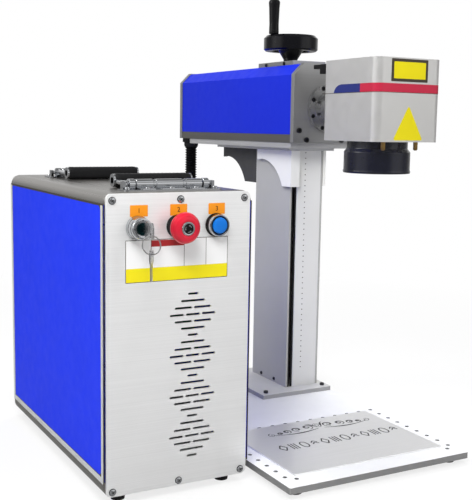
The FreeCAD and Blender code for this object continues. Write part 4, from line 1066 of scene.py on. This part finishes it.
def mark_shape(lines, kind, x, y, size):
    """A diamond, three bars, a ring or two chevrons."""
    tall = size * 1.4
    if kind == 0:
        path = [(x, y - tall), (x + size * 0.8, y), (x, y + tall), (x - size * 0.8, y),
                (x, y - tall)]
        for a, b in zip(path, path[1:]):
            engrave(lines, [a, b], MARK)
    elif kind == 1:
        for dx in (-0.62, 0.0, 0.62):
            engrave(lines, [(x + dx * size, y - tall), (x + dx * size, y + tall)], MARK)
    elif kind == 2:
        engrave(lines, [(x + size * 0.75 * math.cos(i * math.pi / 16),
                         y + tall * math.sin(i * math.pi / 16)) for i in range(33)], MARK)
    else:
        for dy in (-0.55, 0.25):
            low = y + dy * size
            engrave(lines, [(x - size * 0.7, low), (x, low + size * 0.8)], MARK)
            engrave(lines, [(x, low + size * 0.8), (x + size * 0.7, low)], MARK)


scale_marks()
stand_screws()
tapped_rims()
sheet_engraving()


# Arm and scan head details

BEAM_Z = 541.0
ARM_LOW = 481.0
ARM_FRONT = -60.0
FLANGE_BOLTS = 36.5


def arm_screw_details():
    """Screws of the arm's front plate and of the ring flange."""
    corners = [(COLUMN_X + dx, ARM_FRONT, ARM_LOW + 21) for dx in (-57.5, 57.5)]
    corners += [(COLUMN_X + dx, ARM_FRONT, ARM_LOW + 5) for dx in (-42, 32)]
    heads, sockets = socket_heads(corners, "Y", -1, 4.6, 3.2)
    ring = []
    for i in range(8):
        a = 2 * math.pi * (i + 0.5) / 8
        ring.append((COLUMN_X + FLANGE_BOLTS * math.cos(a), ARM_FRONT - 6,
                     BEAM_Z + FLANGE_BOLTS * math.sin(a)))
    more, more_sockets = socket_heads(ring, "Y", -1, 3.4, 2.6)
    heads.join(more)
    sockets.join(more_sockets)
    piece = heads.piece("arm_screw_heads", "dark_steel", "arm", "steel")
    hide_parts("arm_screws")
    sockets.piece("arm_screw_socket_shade", "dark_hole", "arm")


HEAD_LEFT, HEAD_RIGHT, HEAD_FRONT = 160.0, 288.0, -277.0
HEAD_CORNER = 14.0
STRIPE_LOW, STRIPE_HIGH = 563.4, 576.6
TAB_START = -235.2


def head_line(offset, back):
    """The scan head's outline from one side's back end round the front to the other side's."""
    x0, x1, y0, r = HEAD_LEFT, HEAD_RIGHT, HEAD_FRONT, HEAD_CORNER
    points = [(x0 - offset, back)]
    reach = r + offset
    for start, x in ((180, x0 + r), (270, x1 - r)):
        for i in range(13):
            a = math.radians(start + 90 * i / 12)
            points.append((x + reach * math.cos(a), y0 + r + reach * math.sin(a)))
    points.append((x1 + offset, back))
    return points


def band(name, back, z0, z1, proud, material):
    """A thin strip round the scan head's front."""
    rings = []
    for (xo, yo), (xi, yi) in zip(head_line(proud, back), head_line(-0.4, back)):
        rings.append([(xi, yi, z0), (xo, yo, z0), (xo, yo, z1), (xi, yi, z1)])
    Shape().loops(rings).piece(name, material, "arm")


def head_details():
    band("head_seam", -130.2, 562.5, 563.3, 0.12, "dark_print_and_gap_shade")
    band("head_stripe", -235.0, STRIPE_LOW, STRIPE_HIGH, 0.35, "stripe")
    tabs = Shape()
    outline = [(TAB_START, STRIPE_LOW), (-164, STRIPE_LOW), (-166, 568), (-170, 572),
               (-176, 575), (-184, STRIPE_HIGH), (TAB_START, STRIPE_HIGH)]
    for x, way in ((HEAD_LEFT, -1), (HEAD_RIGHT, 1)):
        tabs.prism("YZ", outline, x + way * 0.34, -way * 0.6)
    tabs.piece("head_tabs", "tab", "arm")
    plate("head_plate_frame", 187, 258, 579.5, 614, HEAD_FRONT, 0.5, "dark_print_and_gap_shade", 1.0, "arm")
    plate("head_plate_face", 191.6, 253.4, 584, 609.5, HEAD_FRONT - 0.3, 0.4, "yellow", 0.8,
          "arm")
    corners = [(194.0, 489.8), (252.5, 489.8), (223.2, 543.5)]
    Shape().prism("XZ", round_triangle(corners, 3.0), HEAD_FRONT, -0.4).piece(
        "head_patch", "yellow", "arm", None, 0.12, segments=1)


def round_triangle(corners, radius):
    """A triangle's outline with small round corners."""
    outline = []
    count = len(corners)
    for i in range(count):
        before, here, after = (Vector(corners[(i + k) % count]) for k in (-1, 0, 1))
        into = (before - here).normalized()
        out = (after - here).normalized()
        half = into.angle(out) / 2
        reach = radius / math.tan(half)
        for k in range(5):
            t = k / 4
            a = here + into * reach * (1 - t)
            b = here + out * reach * t
            outline.append(tuple(here + (a - here) * (1 - t) + (b - here) * t))
    return outline


def lens_details():
    """Retaining ring round the lens glass."""
    centre = (220.0, -205.0, 436.0)
    sleeve("lens_retainer", "Z", centre,
           [(42.4, 0.6), (45.5, -0.2), (48.5, 0.0), (48.5, 2.4), (42.4, 3.4), (42.4, 0.6)],
           "lens", "arm", "lens_black")


def lock_screw_details():
    knobs = Shape()
    for place in ((182, -269, 475), (246, -269, 475)):
        ribbed_ring(knobs, "Z", place, 3.5, 0.35, 12, 0.0, 8.2)
        knobs.lathe("Z", place, [(2.2, -1.0), (2.4, -0.8), (2.4, 0.2)], 16)
    knobs.piece("lock_screw_knobs", "brass", "arm", "brass")


arm_screw_details()
head_details()
lens_details()
lock_screw_details()


# Floor, background and light

def grey_stops(*pairs):
    """Ramp stops in grey; the first two are the ramp's ends."""
    return [(where, grey(value)) for where, value in pairs]


AMBIENT = 0.36
AMBIENT_STOPS = grey_stops((0.0, 0.7), (1.0, 1.0), (0.5, 0.7))
MIRROR_STOPS = grey_stops((0.0, 0.3), (1.0, 0.4), (0.44, 0.3), (0.54, 0.72), (0.62, 1.0),
                          (0.70, 1.0), (0.75, 0.35), (0.84, 0.35), (0.9, 0.9))
AROUND_STOPS = grey_stops((0.0, 0.85), (1.0, 0.30), (0.12, 0.85), (0.22, 0.3), (0.42, 0.3),
                          (0.60, 1.0), (0.82, 1.0), (0.91, 0.3))
STUDIO_FRONT = (-0.483, -0.876, 0.0)
FLOOR_REACH = 9000
FLOOR_GLOW = 0.78
FLOOR_GLOSS = 0.3


def maths(tree, kind, first, second):
    node = add_node(tree, "Math", operation=kind)
    link(first, node.inputs[0])
    link(second, node.inputs[1])
    return node.outputs[0]


def mixed_shader(tree, share, first, second):
    node = add_node(tree, "MixShader")
    link(share, node.inputs["Fac"])
    link(first, node.inputs[1])
    link(second, node.inputs[2])
    return node.outputs[0]


def floor():
    """White to the camera, with the object's soft shadow; dimmer in reflections."""
    r = FLOOR_REACH
    shape = Shape().prism("XY", [(-r, -r), (r, -r), (r, r), (-r, r)], -6, 6)
    plane = shape.piece("floor", "trim", None)
    mat, tree, bsdf = new_material("floor_white", Roughness=0.9, Specular_IOR_Level=0.1)
    link(cloudy(tree, 2, grey(0.90), grey(0.92)), bsdf.inputs["Base Color"])
    rays = add_node(tree, "LightPath").outputs
    place = add_node(tree, "TexCoord")
    length = add_node(tree, "VectorMath", operation="LENGTH")
    link(place.outputs["Object"], length.inputs[0])
    near = spread(tree, length.outputs["Value"], FLOOR_GLOW, 1.0, 0.55, 1.6)
    seen = maths(tree, "MULTIPLY", rays["Is Camera Ray"], near)
    share = maths(tree, "ADD", rays["Is Glossy Ray"], seen)
    glow = add_node(tree, "Emission")
    link(spread(tree, rays["Is Glossy Ray"], 1.0, FLOOR_GLOSS, 0.0, 1.0), glow.inputs["Strength"])
    link(mixed_shader(tree, share, bsdf.outputs[0], glow.outputs[0]),
         tree.nodes["Material Output"].inputs["Surface"])
    plane.data.materials[0] = mat


def background(tree, level, strength):
    node = add_node(tree, "Background")
    node.inputs["Strength"].default_value = strength
    link(level, node.inputs["Color"])
    return node.outputs[0]


def world():
    """White where the camera sees it, a soft studio for light and a sharper one for gloss."""
    made = bpy.data.worlds.new("studio")
    bpy.context.scene.world = made
    made.use_nodes = True
    tree = made.node_tree
    tree.nodes.clear()
    place = add_node(tree, "TexCoord").outputs["Generated"]
    split = add_node(tree, "SeparateXYZ")
    link(place, split.inputs["Vector"])
    height = spread(tree, split.outputs["Z"], 0.0, 1.0, -1.0, 1.0)
    soft = background(tree, ramp(tree, height, AMBIENT_STOPS), AMBIENT)
    facing = add_node(tree, "VectorMath", operation="DOT_PRODUCT")
    facing.inputs[1].default_value = STUDIO_FRONT
    link(place, facing.inputs[0])
    around = ramp(tree, spread(tree, facing.outputs["Value"], 0.0, 1.0, -1.0, 1.0), AROUND_STOPS)
    panels = blended(tree, "MULTIPLY", 1.0, ramp(tree, height, MIRROR_STOPS), around)
    mirror = background(tree, panels, 1.0)
    white = add_node(tree, "Background")
    white.inputs["Color"].default_value = grey(1.0)
    rays = add_node(tree, "LightPath").outputs
    gloss = maths(tree, "MAXIMUM", rays["Is Glossy Ray"], rays["Is Transmission Ray"])
    lit = mixed_shader(tree, gloss, soft, mirror)
    shown = mixed_shader(tree, rays["Is Camera Ray"], lit, white.outputs[0])
    out = add_node(tree, "OutputWorld")
    link(shown, out.inputs["Surface"])


def lamp(name, place, aim, size, power, gloss=True):
    data = bpy.data.lights.new(name, "AREA")
    data.shape = "SQUARE"
    data.size = size
    data.energy = power
    obj = bpy.data.objects.new(name, data)
    way = Vector(aim) - Vector(place)
    obj.rotation_euler = way.to_track_quat("-Z", "Y").to_euler()
    obj.location = place
    obj.visible_glossy = gloss
    bpy.context.scene.collection.objects.link(obj)


floor()
world()
lamp("key", (-0.5, -0.75, 0.95), (-0.2, -0.3, 0.35), 0.4, 8.5, False)
lamp("fill", (1.1, -2.2, 1.5), (0.25, 0, 0.5), 1.0, 17, False)
lamp("left", (-1.6, 0.6, 1.5), (-0.1, 0, 0.35), 0.9, 13)
lamp("gap", (-0.42, 0.1, 1.2), (0.18, 0.06, 0.1), 0.3, 2.5, False)
lamp("top", (0.6, 0.5, 2.2), (0.05, 0, 0.2), 0.9, 25, False)

bpy.context.scene.view_settings.view_transform = "Standard"
